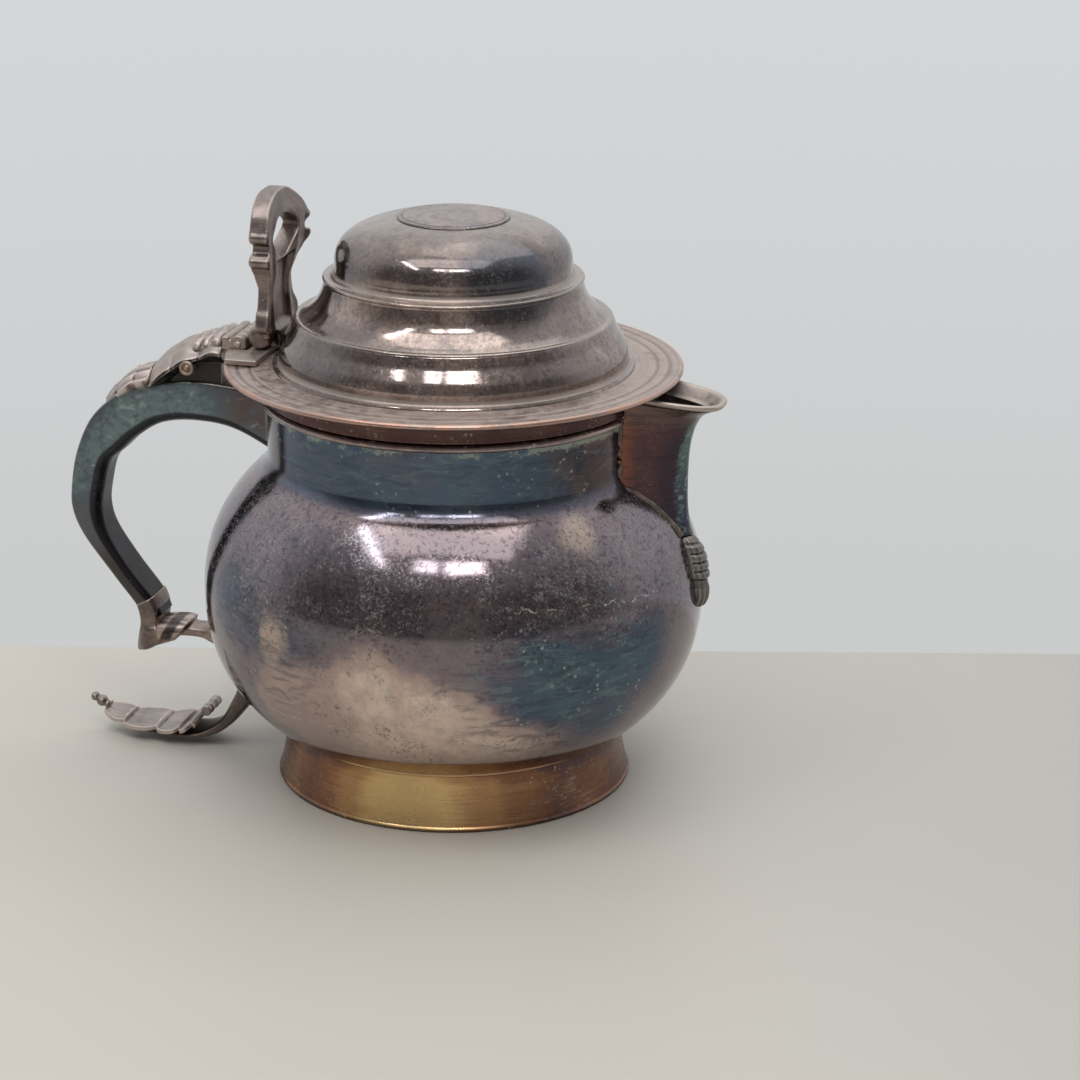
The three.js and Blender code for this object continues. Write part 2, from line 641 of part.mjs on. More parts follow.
const ROOT_Z = BELLY_Z - TAIL_ROOT_BELOW;
const ROOT_R = bellyRadius(ROOT_Z);
const byRoot = (out, rise) => [-(ROOT_R + out), ROOT_Z + rise];
const byTable = (out, height) => [-(STRUT_R + out), height];

const TAIL_LINE = [
  [byRoot(-4, 6.0), byRoot(-12, -1)],
  [byRoot(5.0, -1.0), byRoot(-1.0, -7.0)],
  [byRoot(9.4, -9.6), byRoot(4.0, -12.0)],
  [byTable(3.6, 9.6), byTable(-0.2, 7.8)],
  [byTable(8.4, 5.9), byTable(5.9, 3.6)],
  [byTable(14.8, 4.1), byTable(13.7, 2.4)],
  [byTable(25.0, 3.9), byTable(25.0, 2.4)],
  [byTable(37.0, 4.6), byTable(37.2, 3.1)],
];
const TAIL_WIDTHS = [7.0, 6.5, 6.0, 6.0, 7.0, 8.0, 7.5, 6.0];

const tailScroll = () => bar(TAIL_LINE, 24, ovalSection(TAIL_WIDTHS, 10)).subtract(BODY_KEEP_OUT);

const TAIL_LEAF_LINE = [
  [byTable(10.6, 10.9), byTable(10.2, 9.3)],
  [byTable(13.0, 8.8), byTable(12.2, 7.2)],
  [byTable(16.2, 7.3), byTable(15.8, 5.5)],
  [byTable(20.5, 6.5), byTable(20.5, 4.6)],
  [byTable(30.0, 6.2), byTable(30.0, 4.6)],
  [byTable(39.5, 7.2), byTable(40.0, 5.2)],
  [byTable(45.0, 9.3), byTable(46.0, 7.4)],
];
const TAIL_LEAF_WIDTHS = [5.0, 8.5, 10.5, 10.5, 9.5, 7.5, 4.5];

const tailLeaf = () => bar(TAIL_LEAF_LINE, 16, domedSection(TAIL_LEAF_WIDTHS, 0.6, 0.7));

function ballAt([x, z], radius) {
  const geometry = new THREE.SphereGeometry(radius, 10, 7);
  geometry.translate(x, 0, z);
  return solidOf(geometry);
}

const tailTip = () => joined([ballAt(byTable(47.6, 9.7), 1.9), ballAt(byTable(50.0, 11.0), 1.6)]);

// A round bar across the jug
function rollAcross([x, z], radius, length) {
  const geometry = new THREE.CylinderGeometry(radius, radius, length, SMALL_ROUND);
  geometry.translate(x, 0, z);
  return solidOf(geometry);
}

// The rolled end of the tail's leaf
const tailCurl = () => rollAcross(byTable(8.6, 12.0), CURL_R, CURL_LENGTH);

// Lid

function lidBrim() {
  const inner = NECK_R - BRIM_HOLE_IN;
  const bead = 0.55;
  return turnedRing([
    [inner, BRIM_Z], [BRIM_R - bead, BRIM_Z], [BRIM_R, BRIM_Z + bead], [BRIM_R, BRIM_TOP - bead],
    [BRIM_R - bead, BRIM_TOP], [inner, BRIM_TOP],
  ]);
}

function crownZ(r, inset = 0) {
  const share = Math.min(1, r / (CROWN_R - inset));
  return CROWN_Z + (CROWN_HEIGHT - inset) * Math.pow(1 - Math.pow(share, CROWN_POWER), 1 / CROWN_POWER);
}

function crownLine(inset, count) {
  const line = [];
  for (let k = 0; k <= count; k += 1) {
    const r = (CROWN_R - inset) * Math.pow(Math.cos((k / count) * (Math.PI / 2)), 2 / CROWN_POWER);
    line.push(k === count ? [0, crownZ(0, inset)] : [r, crownZ(r, inset)]);
  }
  return line;
}

// The lid's stepped outside: a fillet on the brim, a swelling, a moulding, an upright collar
// with a rolled edge, and the crown
function lidDome() {
  const rise = (height) => DOME_Z + height;
  const outside = [
    [DOME_R, rise(0)], [DOME_R - DOME_FILLET, rise(0.8)],
    [DOME_R - 2.3, rise(4.2)], [DOME_R - 4.2, rise(9.8)],
    [DOME_R - 6.3, rise(STEP_RISE - 1.3)], [DOME_R - 7.3, rise(STEP_RISE)],
    [DOME_R - 8.3, rise(STEP_RISE + 0.3)],
    [DOME_R - 12.2, rise(STEP_RISE + 3)], [COLLAR_R + 1.1, rise(COLLAR_RISE - 1.7)],
    [COLLAR_R, rise(COLLAR_RISE)], [COLLAR_R - 0.1, rise(COLLAR_RISE + COLLAR_HEIGHT - 1)],
    [COLLAR_R - 0.9, rise(COLLAR_RISE + COLLAR_HEIGHT)], [CROWN_R + 0.2, CROWN_Z - LEDGE_RISE + 0.8],
    ...crownLine(0, 8),
  ];
  const w = LID_WALL;
  const inside = [
    ...crownLine(w, 6).reverse(),
    [CROWN_R - w, CROWN_Z - LEDGE_RISE - w + 0.8],
    [COLLAR_R - 0.6 - w, rise(COLLAR_RISE + COLLAR_HEIGHT - w)],
    [COLLAR_R - w, rise(COLLAR_RISE - w / 2)], [DOME_R - 8.6 - w, rise(STEP_RISE - w)],
    [DOME_R - 4.6 - w, rise(9)], [DOME_R - 2.0 - w, rise(0)],
  ];
  return turned([...outside.reverse(), ...inside.reverse()]);
}

function lidDisc() {
  const steps = [0, 0.35, 0.7, 0.95];
  const under = steps.map((share) => [DISC_R * share, crownZ(DISC_R * share) + GAP]);
  const over = steps.map((share) => [DISC_R * share, crownZ(DISC_R * share) + GAP + DISC_THICK]).reverse();
  over[0] = [DISC_R, crownZ(DISC_R) + GAP + DISC_THICK * 0.5];
  return turned([...under, ...over]);
}

function lidBezel() {
  const outer = NECK_R - WALL - BEZEL_R_CLEARANCE;
  const top = BRIM_Z - GAP;
  return turnedRing([[outer - BEZEL_WALL, top - BEZEL_DEPTH], [outer - 0.3, top - BEZEL_DEPTH],
    [outer, top - BEZEL_DEPTH + 0.5], [outer, top], [outer - BEZEL_WALL, top]]);
}

// Hinge: five knuckles, three on the handle's bracket and two on the lid's plate

const knuckleWidth = (2 * HINGE_HALF_WIDTH) / KNUCKLE_COUNT;
const knuckleSpan = (k) => [
  -HINGE_HALF_WIDTH + k * knuckleWidth + KNUCKLE_SIDE_GAP,
  -HINGE_HALF_WIDTH + (k + 1) * knuckleWidth - KNUCKLE_SIDE_GAP,
];
const fixedKnuckles = [...Array(KNUCKLE_COUNT).keys()].filter((k) => k % 2 === 0);
const lidKnuckles = [...Array(KNUCKLE_COUNT).keys()].filter((k) => k % 2 === 1);

function hingeBracket() {
  const back = LEAF_END_X + GAP;
  const low = HINGE_Z - 2.1;
  const high = HINGE_Z + 2.1;
  const bridge = block(back, HINGE_X - KNUCKLE_R - 0.4, -HINGE_HALF_WIDTH, HINGE_HALF_WIDTH, low, high);
  const arms = fixedKnuckles.map((k) => block(back, HINGE_X, ...knuckleSpan(k), low, HINGE_Z + 1.7));
  const rings = fixedKnuckles.map((k) => rod(KNUCKLE_R, ...knuckleSpan(k)));
  return joined([bridge, ...arms, ...rings]).subtract(rod(PIN_R + PIN_CLEARANCE, -BELLY_R, BELLY_R));
}

const hingePin = () => rod(PIN_R, -HINGE_HALF_WIDTH - 0.4, HINGE_HALF_WIDTH + 0.4);

function lidPlate() {
  const edge = BRIM_R - PLATE_EDGE_IN;
  const sweep = Math.asin(PLATE_HALF_WIDTH / edge);
  const outline = [[PLATE_END_X, PLATE_HALF_WIDTH]];
  for (let k = 0; k <= 12; k += 1) {
    const angle = Math.PI - sweep + (2 * sweep * k) / 12;
    outline.push([edge * Math.cos(angle), edge * Math.sin(angle)]);
  }
  outline.push([PLATE_END_X, -PLATE_HALF_WIDTH]);
  const reach = HINGE_HALF_WIDTH + 0.4;
  const relief = block(-2 * BRIM_R, HINGE_X + KNUCKLE_R + 0.5, -reach, reach, PLATE_Z - 1, PLATE_TOP + 1);
  const plate = plateFlat(outline, PLATE_Z, PLATE_TOP).subtract(relief);
  const webs = lidKnuckles.map((k) => block(HINGE_X, HINGE_X + KNUCKLE_R + 1.2, ...knuckleSpan(k), PLATE_Z,
    PLATE_TOP + 0.9));
  const rings = lidKnuckles.map((k) => rod(KNUCKLE_R, ...knuckleSpan(k)));
  return joined([plate, ...webs, ...rings]).subtract(rod(PIN_R + PIN_CLEARANCE, -BELLY_R, BELLY_R));
}

// Thumbpiece: an open lyre of scrolls on a rolled foot, drawn as one half and mirrored.
// Rows are [y, height above the plate], drawn at the height LYRE_TOP.
const LYRE_TOP = 50.6;
const LYRE_SIDE = [
  [4.2, 0], [4.6, 3.2], [6.4, 5.6], [10.6, 6.0], [14.2, 6.4], [15.6, 9.0], [15.0, 11.8], [13.6, 14.6],
  [12.6, 20.0], [13.2, 24.4], [14.6, 26.8], [15.8, 29.2], [15.4, 31.6], [13.8, 32.4], [13.6, 34.8],
  [15.4, 35.8], [15.8, 38.2], [15.0, 40.6], [13.4, 44.4], [10.2, 47.9], [5.6, 50.1],
];
const LYRE_EYE = [[0, 42.4], [4.6, 41.4], [8.4, 37.8], [9.2, 34.6], [6.4, 31.4], [2.4, 29.0]];
const LYRE_SLOT = [[2.8, 13.0], [4.0, 13.2], [7.6, 8.0], [6.0, 7.4], [3.4, 7.8]];

function thumbpiece() {
  const low = PLATE_TOP + GAP;
  const scale = THUMB_HEIGHT / LYRE_TOP;
  const lift = ([y, rise]) => [y, low + rise * scale];
  const mirror = ([y, z]) => [-y, z];
  const side = LYRE_SIDE.map(lift);
  const outline = [...side, lift([0, LYRE_TOP]), ...side.map(mirror).reverse()];
  const eyeSide = LYRE_EYE.map(lift);
  const eye = [...eyeSide, ...eyeSide.slice(1).map(mirror).reverse()];
  const slot = LYRE_SLOT.map(lift);
  const front = -(DOME_R - DOME_FILLET + THUMB_TO_DOME);
  const lean = (z) => -THUMB_LEAN * Math.pow((z - low) / THUMB_HEIGHT, 3);
  const holes = [eye, slot, slot.map(mirror).reverse()];
  const rollX = HINGE_X + KNUCKLE_R + THUMB_ROLL_GAP + THUMB_ROLL_R;
  const roll = rollAcross([rollX, low + THUMB_ROLL_R], THUMB_ROLL_R, THUMB_ROLL_LENGTH);
  return plateAcross(outline, holes, front - THUMB_THICK, front, lean).add(roll);
}

// Finishes: colour, roughness, metalness
const FINISH = {
  belly: ['#6d6268', 0.32, 1.0],
  neck: ['#4c5a60', 0.34, 1.0],
  foot: ['#8a6a48', 0.34, 1.0],
  bead: ['#8d8f86', 0.42, 1.0],
  handle: ['#4e5a58', 0.36, 1.0],
  cast: ['#8f8580', 0.52, 0.9],
  spout: ['#5b4a44', 0.36, 1.0],
  lid: ['#7a7072', 0.38, 1.0],
  dusty: ['#a29a90', 0.6, 0.8],
  pin: ['#77736c', 0.4, 1.0],
};

const PIECES = [
  ['body_shell', bodyShell, 'belly'],
  ['foot_ring', footRing, 'foot'],
  ['neck_bead', neckBead, 'bead'],
  ['rim_band', rimBand, 'neck'],
  ['spout_shell', spoutShell, 'spout'],
  ['spout_lip', spoutLip, 'bead'],
  ['spout_drop', spoutDrop, 'cast'],
  ['handle_scroll', handleScroll, 'handle'],
  ['handle_beak', handleBeak, 'cast'],
  ['handle_strut', handleStrut, 'cast'],
  ['handle_leaf_tip', leafTip, 'cast'],
  ['handle_leaf_cap', leafCap, 'cast'],
  ['volute_right', () => volute(-1), 'cast'],
  ['volute_left', () => volute(1), 'cast'],
  ['tail_scroll', tailScroll, 'cast'],
  ['tail_leaf', tailLeaf, 'cast'],
  ['tail_tip', tailTip, 'cast'],
  ['tail_curl', tailCurl, 'cast'],
  ['hinge_bracket', hingeBracket, 'cast'],
  ['hinge_pin', hingePin, 'pin'],
  ['lid_brim', lidBrim, 'lid'],
  ['lid_dome', lidDome, 'lid'],
  ['lid_top_disc', lidDisc, 'dusty'],
  ['lid_bezel', lidBezel, 'lid'],
  ['lid_hinge_plate', lidPlate, 'dusty'],
  ['thumbpiece', thumbpiece, 'cast'],
];

const jug = new THREE.Group();
for (const [name, make, finish] of PIECES) {
  const [color, roughness, metalness] = FINISH[finish];
  const metal = new THREE.MeshStandardMaterial({ color, roughness, metalness });
  const mesh = new THREE.Mesh(geometryOf(make()), metal);
  mesh.name = name;
  jug.add(mesh);
}

// The middle of the jug's box comes over the origin
const bounds = new THREE.Box3().setFromObject(jug);
jug.position.x = -(bounds.min.x + bounds.max.x) / 2;

export default jug;
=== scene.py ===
# A lidded ale jug of worn silver plate on a pale table: round belly, short neck, stepped lid
# with an open thumbpiece, beak spout and a large hollow scroll handle.
# Shapes are written in millimetres round the jug's own axis, spout towards +X, and are placed
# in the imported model's frame, in metres.

import math

import bmesh
import bpy
import numpy as np
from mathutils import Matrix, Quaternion, Vector


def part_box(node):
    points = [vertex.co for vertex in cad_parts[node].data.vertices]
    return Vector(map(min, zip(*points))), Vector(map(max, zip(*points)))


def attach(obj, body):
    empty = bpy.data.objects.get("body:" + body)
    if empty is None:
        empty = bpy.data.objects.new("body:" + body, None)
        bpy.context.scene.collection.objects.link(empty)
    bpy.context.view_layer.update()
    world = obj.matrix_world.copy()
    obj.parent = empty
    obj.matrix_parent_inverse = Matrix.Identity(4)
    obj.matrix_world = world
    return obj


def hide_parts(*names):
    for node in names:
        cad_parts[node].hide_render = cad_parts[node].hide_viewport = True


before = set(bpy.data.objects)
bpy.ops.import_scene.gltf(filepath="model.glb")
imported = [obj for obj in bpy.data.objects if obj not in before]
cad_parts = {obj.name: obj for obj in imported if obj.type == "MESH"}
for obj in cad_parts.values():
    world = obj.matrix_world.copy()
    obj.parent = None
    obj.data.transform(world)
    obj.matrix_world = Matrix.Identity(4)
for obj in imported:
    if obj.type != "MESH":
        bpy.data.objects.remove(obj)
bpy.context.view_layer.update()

MM = 0.001
scene = bpy.context.scene
foot_low, foot_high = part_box("foot_ring")
AXIS_X = (foot_low.x + foot_high.x) / 2


def at(x, y, z):
    """A point of the jug, in millimetres from its axis and the table, in the frame's metres"""
    return Vector((AXIS_X + x * MM, y * MM, z * MM))


def linked(name, data):
    """A new object in the scene"""
    made = bpy.data.objects.new(name, data)
    scene.collection.objects.link(made)
    return made


# Camera

LENS = 108.3
CAMERA_PLACE = (268.3, -961.1, 411.5)
CAMERA_TURN = 14.0
CAMERA_PITCH = 18.45
CAMERA_ROLL = 0.42
CAMERA_SHIFT = -0.0014


def make_camera():
    data = bpy.data.cameras.new("camera")
    data.lens = LENS
    data.sensor_width = 36.0
    data.shift_y = CAMERA_SHIFT
    camera = linked("camera", data)
    turn, pitch = math.radians(CAMERA_TURN), math.radians(CAMERA_PITCH)
    look = Vector((-math.sin(turn) * math.cos(pitch), math.cos(turn) * math.cos(pitch), -math.sin(pitch)))
    camera.location = at(*CAMERA_PLACE)
    camera.rotation_mode = "QUATERNION"
    roll = Quaternion((0, 0, 1), math.radians(CAMERA_ROLL))
    camera.rotation_quaternion = look.to_track_quat("-Z", "Y") @ roll
    scene.camera = camera


make_camera()
scene.view_settings.view_transform = "Standard"


# Node words

class Amount:
    """One value that runs over a surface; sums and products of it add their Math nodes"""

    def __init__(self, words, socket):
        self.words = words
        self.socket = socket

    def __add__(self, other):
        return self.words.maths("ADD", self, other)

    def __mul__(self, other):
        return self.words.maths("MULTIPLY", self, other)

    def __sub__(self, other):
        return self.words.maths("SUBTRACT", self, other)

    def __rsub__(self, other):
        return self.words.maths("SUBTRACT", other, self)

    def __truediv__(self, other):
        return self.words.maths("DIVIDE", self, other)

    __radd__ = __add__
    __rmul__ = __mul__


class Words:
    """Adds nodes to one tree, each word with the values or links that it is given"""

    def __init__(self, tree):
        self.tree = tree

    def plug(self, target, value):
        """Sets an input to a number, a colour or a link"""
        if isinstance(value, Amount):
            value = value.socket
        if isinstance(value, bpy.types.NodeSocket):
            self.tree.links.new(value, target)
        elif isinstance(value, (tuple, list)) and target.type == "RGBA" and len(value) == 3:
            target.default_value = (*value, 1.0)
        else:
            target.default_value = value

    def node(self, kind, settings=None, **values):
        made = self.tree.nodes.new(kind)
        for name, value in (settings or {}).items():
            setattr(made, name, value)
        for name, value in values.items():
            self.plug(made.inputs[name.replace("_", " ")], value)
        return made

    def maths(self, operation, *values):
        made = self.node("ShaderNodeMath", {"operation": operation})
        for socket, value in zip(made.inputs, values):
            self.plug(socket, value)
        return Amount(self, made.outputs[0])

    def vector(self, operation, first, second=(0, 0, 0)):
        made = self.node("ShaderNodeVectorMath", {"operation": operation})
        self.plug(made.inputs[0], first)
        self.plug(made.inputs["Scale" if operation == "SCALE" else 1], second)
        if operation in ("LENGTH", "DISTANCE", "DOT_PRODUCT"):
            return Amount(self, made.outputs["Value"])
        return made.outputs["Vector"]

    def parts(self, vector):
        """The three amounts of a vector"""
        outputs = self.node("ShaderNodeSeparateXYZ", Vector=vector).outputs
        return [Amount(self, outputs[k]) for k in "XYZ"]

    def point(self, x, y, z):
        return self.node("ShaderNodeCombineXYZ", X=x, Y=y, Z=z).outputs[0]

    def band(self, value, low, high):
        """0 below low and 1 above high, smoothly; low may be the larger"""
        flip = low > high
        made = self.node("ShaderNodeMapRange", {"interpolation_type": "SMOOTHSTEP"}, Value=value,
                         From_Min=min(low, high), From_Max=max(low, high),
                         To_Min=1.0 if flip else 0.0, To_Max=0.0 if flip else 1.0)
        return Amount(self, made.outputs[0])

    def from_zero(self, value, low, high):
        """A band over how far a value lies from 0 on either side"""
        return self.band(self.maths("ABSOLUTE", value), low, high)

    def most(self, first, second):
        return self.maths("MAXIMUM", first, second)

    def mix(self, share, first, second):
        made = self.node("ShaderNodeMix", {"data_type": "RGBA"}, Factor=share)
        self.plug(made.inputs[6], first)
        self.plug(made.inputs[7], second)
        return made.outputs[2]


class Finish(Words):
    """A finish of one metal or dust, drawn with nodes in the piece's own millimetres"""

    def __init__(self, name, colour=None):
        self.colour = colour
        self.material = bpy.data.materials.new(name)
        self.material.use_nodes = True
        super().__init__(self.material.node_tree)
        self.tree.nodes.clear()
        coordinates = self.node("ShaderNodeTexCoord").outputs
        moved = self.vector("SUBTRACT", coordinates["Object"], (AXIS_X, 0, 0))
        self.place = self.vector("MULTIPLY", moved, (1000, 1000, 1000))
        self.x, self.y, self.z = self.parts(self.place)
        self.facing_x, self.facing_y, self.up = self.parts(coordinates["Normal"])

    def stretched(self, sx, sy, sz):
        return self.vector("MULTIPLY", self.place, (sx, sy, sz))

    def from_axis(self):
        return self.vector("LENGTH", self.stretched(1, 1, 0))

    def hollow(self):
        return Amount(self, self.node("ShaderNodeAttribute", {"attribute_name": "hollow"}).outputs["Fac"])

    def noise(self, size, shift=0.0, detail=3.0, rough=0.6, place=None, warp=0.0):
        """Soft mottling, one patch about size millimetres across, from 0 to 1"""
        moved = self.vector("ADD", place or self.place, (shift, shift * 1.7, -shift))
        made = self.node("ShaderNodeTexNoise", Vector=moved, Scale=1.0 / size, Detail=detail,
                         Roughness=rough, Distortion=warp)
        return Amount(self, made.outputs[0])

    def streaks(self, across, along, shift=0.0, detail=4.0, rough=0.6, warp=0.3):
        """Mottling drawn out level round the jug"""
        return self.noise(1.0, shift, detail, rough, self.stretched(across, across, along), warp)

    def blotches(self, low, high, *noise, **more):
        """Where the mottling of a noise runs from low to high"""
        return self.band(self.noise(*noise, **more), low, high)

    def swing(self, width, *noise, **more):
        """The mottling of a noise, about 0 and width from end to end"""
        return (self.noise(*noise, **more) - 0.5) * width

    def patch(self, centre, radius, soft, stretch=(1, 1, 1), ragged=0.0, ragged_size=8.0):
        """A stain round a point of the jug: 1 inside, 0 outside"""
        away = self.vector("MULTIPLY", self.vector("SUBTRACT", self.place, centre), stretch)
        distance = self.vector("LENGTH", away)
        if ragged:
            distance = distance + self.swing(ragged, ragged_size, centre[0], 4.0)
        return self.band(distance, radius + soft, radius - soft)

    def coat(self, share, colour):
        """Lays a colour over what is there"""
        self.colour = self.mix(share, self.colour, colour)

    def ramp(self, value, stops):
        """Starts the colour with a ramp over a value"""
        made = self.node("ShaderNodeValToRGB")
        line = made.color_ramp
        line.interpolation = "EASE"
        while len(line.elements) < len(stops):
            line.elements.new(0.5)
        for element, (place, colour) in zip(line.elements, stops):
            element.position = place
            element.color = (*colour, 1.0)
        self.plug(made.inputs[0], value)
        self.colour = made.outputs[0]

    def mottled(self, value, wide, small, size, shift=0.0):
        """A value with wide, small and fine mottling added"""
        value = value + self.swing(wide, size, shift, warp=0.4)
        value = value + self.swing(small, size / 5.0, shift + 40, 4.0, 0.65)
        return value + self.swing(small * 0.6, 1.3, shift + 9, 2.0)

    def specks(self, size, share, shift, patches):
        """Tiny crusts in patches; share says how much of each cell one fills"""
        moved = self.vector("ADD", self.place, (shift, -shift, shift * 0.6))
        cell = self.node("ShaderNodeTexVoronoi", Vector=moved, Scale=1.0 / size)
        spots = self.band(Amount(self, cell.outputs["Distance"]), share, share * 0.55)
        spots = spots * self.blotches(0.42, 0.6, size * 2.2, shift + 3, 2.0, 0.5)
        return spots * self.blotches(0.44, 0.6, patches, shift + 17)

    def scratches(self, across, along, share, shift, gate):
        """Fine pale lines, drawn out the way in which the stretch is small"""
        lines = self.streaks(across, along, shift, 2.0, 0.5, 0.5)
        lines = self.from_zero(lines - 0.5, share * 0.25, 0.0)
        return lines * self.blotches(0.5, 0.62, 14.0, shift + 5, 1.0, 0.5) \
            * self.blotches(0.5, 0.64, gate, shift + 31, 2.0, 0.5)

    def stroke(self, line, width, shift=0.0):
        """One ragged pale line along points of the surface"""
        wander = self.node("ShaderNodeTexNoise", Vector=self.place, Scale=0.28, Detail=3.0).outputs["Color"]
        off = self.vector("SCALE", self.vector("SUBTRACT", wander, (0.5, 0.5, 0.5)), 5.0)
        place = self.vector("ADD", self.place, off)
        lit = 0.0
        for first, last in zip(line, line[1:]):
            ahead = Vector(last) - Vector(first)
            from_first = self.vector("SUBTRACT", place, first)
            along = self.vector("DOT_PRODUCT", from_first, tuple(ahead / ahead.length_squared))
            along = self.maths("MINIMUM", self.most(along, 0.0), 1.0)
            away = self.vector("DISTANCE", from_first, self.vector("SCALE", tuple(ahead), along))
            lit = self.most(self.band(away, width, width * 0.3), lit)
        return lit * self.blotches(0.36, 0.56, 1.6, shift, 3.0, 0.7)

    def dust(self, low, high, amount, size):
        """Dust on what faces up"""
        lies = self.band(self.up, low, high)
        return lies * self.blotches(0.25, 0.7, size, 70, 4.0, 0.65) * amount

    def crusted(self, field, pale=(0.37, 0.34, 0.325), shift=0.0, strength=1.0):
        """Fine pale and dark mottling over the colour, as dense as its field; gives how much is crust"""
        fine = self.noise(0.95, 3.0 + shift, 4.0, 0.8)
        level = fine + self.swing(0.4, 5.0, 37.0 + shift) + (field - 1.0) * 0.2
        crust = self.band(level, 0.45, 0.70) * self.band(field, 0.0, 0.4)
        dark = self.blotches(0.49, 0.38, 1.5, 81.0 + shift, 4.0, 0.72) * self.band(field, 0.0, 0.5)
        self.coat(dark * (0.55 * strength), (0.04, 0.036, 0.045))
        self.coat(crust * (0.62 * strength), pale)
        return crust

    def finish(self, roughness, metallic, bump=None, depth=0.0):
        """Ties the finish to the surface; bump is a height in millimetres times depth"""
        shader = self.node("ShaderNodeBsdfPrincipled", Base_Color=self.colour, Roughness=roughness,
                           Metallic=metallic)
        if bump is not None:
            raised = self.node("ShaderNodeBump", Strength=1.0, Distance=depth * MM, Height=bump)
            self.plug(shader.inputs["Normal"], raised.outputs["Normal"])
        self.node("ShaderNodeOutputMaterial", Surface=shader.outputs[0])
        return self.material


# Table, light and world

TABLE_COLOUR = (0.545, 0.515, 0.46)


def make_table():
    """A pale stone table top whose far edge lies a little behind the jug"""
    made = Finish("pale table", TABLE_COLOUR)
    veins = made.blotches(0.35, 0.75, 90.0, 0, 5.0, place=made.stretched(0.35, 1.4, 1.0), warp=0.6)
    made.coat(veins * 0.25, (0.49, 0.475, 0.43))
    made.coat(made.noise(400.0, 30.0, 2.0, 0.5) * 0.3, (0.62, 0.595, 0.545))
    # painted shade: the top darkens towards the right, a falloff of light painted into the stone
    made.coat(made.band(made.x * 0.97 + made.y * 0.24, 0.0, 280.0) * 0.75, (0.40, 0.395, 0.37))
    material = made.finish(0.5, 0.0)
    mesh = bpy.data.meshes.new("table_top")
    half_width, near, far, thick, edge = 1500.0, -1300.0, 112.0, 30.0, 4.0
    rows = [(near, -thick), (near, 0.0), (far - edge, 0.0), (far - edge * 0.3, -edge * 0.3), (far, -edge),
            (far, -thick)]
    turn = math.radians(CAMERA_TURN)
    points, faces = [], []
    for side in (-half_width, half_width):
        for along, height in rows:
            x = side * math.cos(turn) - along * math.sin(turn)
            y = side * math.sin(turn) + along * math.cos(turn)
            points.append(at(x, y, height))
    count = len(rows)
    for k in range(count - 1):
        faces.append((k, k + 1, count + k + 1, count + k))
    mesh.from_pydata(points, [], [tuple(reversed(face)) for face in faces])
    mesh.materials.append(material)
    linked("table_top", mesh)


WALL_LOW, WALL_HIGH = (0.62, 0.63, 0.64), (0.86, 0.87, 0.89)
ROOM_LOW, ROOM_HIGH = (0.21, 0.195, 0.19), (0.48, 0.48, 0.49)
SEEN_LOW, SEEN_HIGH = (0.59, 0.60, 0.60), (0.66, 0.68, 0.705)
DOORWAY, DOORWAY_MIDDLE = (0.185, 0.172, 0.168), (0.29, 0.264, 0.247)


def make_world():
    """A pale wall behind, a dim room with a dark doorway in front of the jug, a lighter ceiling"""
    world = bpy.data.worlds.new("room")
    scene.world = world
    world.use_nodes = True
    words = Words(world.node_tree)
    words.tree.nodes.clear()
    turn = math.radians(CAMERA_TURN)
    direction = words.node("ShaderNodeTexCoord").outputs["Generated"]
    height = words.parts(direction)[2]
    ahead = words.vector("DOT_PRODUCT", direction, (-math.sin(turn), math.cos(turn), 0.0))
    across = words.vector("DOT_PRODUCT", direction, (math.cos(turn), math.sin(turn), 0.0))
    room = words.mix(words.band(height, 0.3, 0.85), ROOM_LOW, ROOM_HIGH)
    wall = words.mix(words.band(height, -0.2, 0.5), WALL_LOW, WALL_HIGH)
    around = words.mix(words.band(ahead, -0.45, 0.25), room, wall)
    doorway = words.band(ahead, -0.3, -0.5)
    for value, low, high in ((across, -0.63, -0.59), (across, 0.66, 0.62), (height, 0.53, 0.47),
                             (height, -0.4, -0.3)):
        doorway = doorway * words.band(value, low, high)
    middle = words.band(across, -0.20, -0.16) * words.band(across, 0.31, 0.27)
    around = words.mix(doorway, around, words.mix(middle, DOORWAY, DOORWAY_MIDDLE))
    seen = words.mix(words.band(height, -0.36, -0.12), SEEN_LOW, SEEN_HIGH)
    by_camera = words.node("ShaderNodeLightPath").outputs["Is Camera Ray"]
    light = words.node("ShaderNodeBackground", Color=words.mix(by_camera, around, seen), Strength=1.0)
    words.node("ShaderNodeOutputWorld", Surface=light.outputs[0])


# The height in millimetres at which every lamp points
LAMP_AIM = 90


def make_lamp(name, azimuth, elevation, distance, width, height, power, colour, lean=0.0):
    """A softbox that faces the jug, sizes and distance in metres; azimuth 0 is on the camera's side,
    90 on the spout's side"""
    data = bpy.data.lights.new(name, "AREA")
    data.shape = "RECTANGLE"
    data.size, data.size_y = width, height
    data.energy = power
    data.color = colour
    lamp = linked(name, data)
    a, e = math.radians(azimuth), math.radians(elevation)
    out = Vector((math.sin(a) * math.cos(e), -math.cos(a) * math.cos(e), math.sin(e)))
    lamp.location = at(0, 0, LAMP_AIM) + out * distance
    lamp.rotation_mode = "QUATERNION"
    lamp.rotation_quaternion = (-out).to_track_quat("-Z", "Y") @ Quaternion((0, 0, 1), math.radians(lean))


make_table()
make_world()
for lamp in (("window_near", -1, 48, 1.6, 0.24, 0.22, 1.0, (0.96, 0.98, 1.0)),
             ("window", 22, 48, 1.6, 0.44, 0.22, 2.6, (1.0, 0.99, 0.99)),
             ("curtain", -42, 52.5, 1.6, 0.80, 0.085, 2.4, (0.95, 0.97, 1.0), -34),
             ("room_lights", 8, 72, 2.4, 2.4, 1.2, 15.0, (1.0, 0.985, 0.96)),
             ("ceiling", 160, 68, 2.4, 1.8, 1.8, 9.0, (1.0, 0.99, 0.98))):
    make_lamp(*lamp)


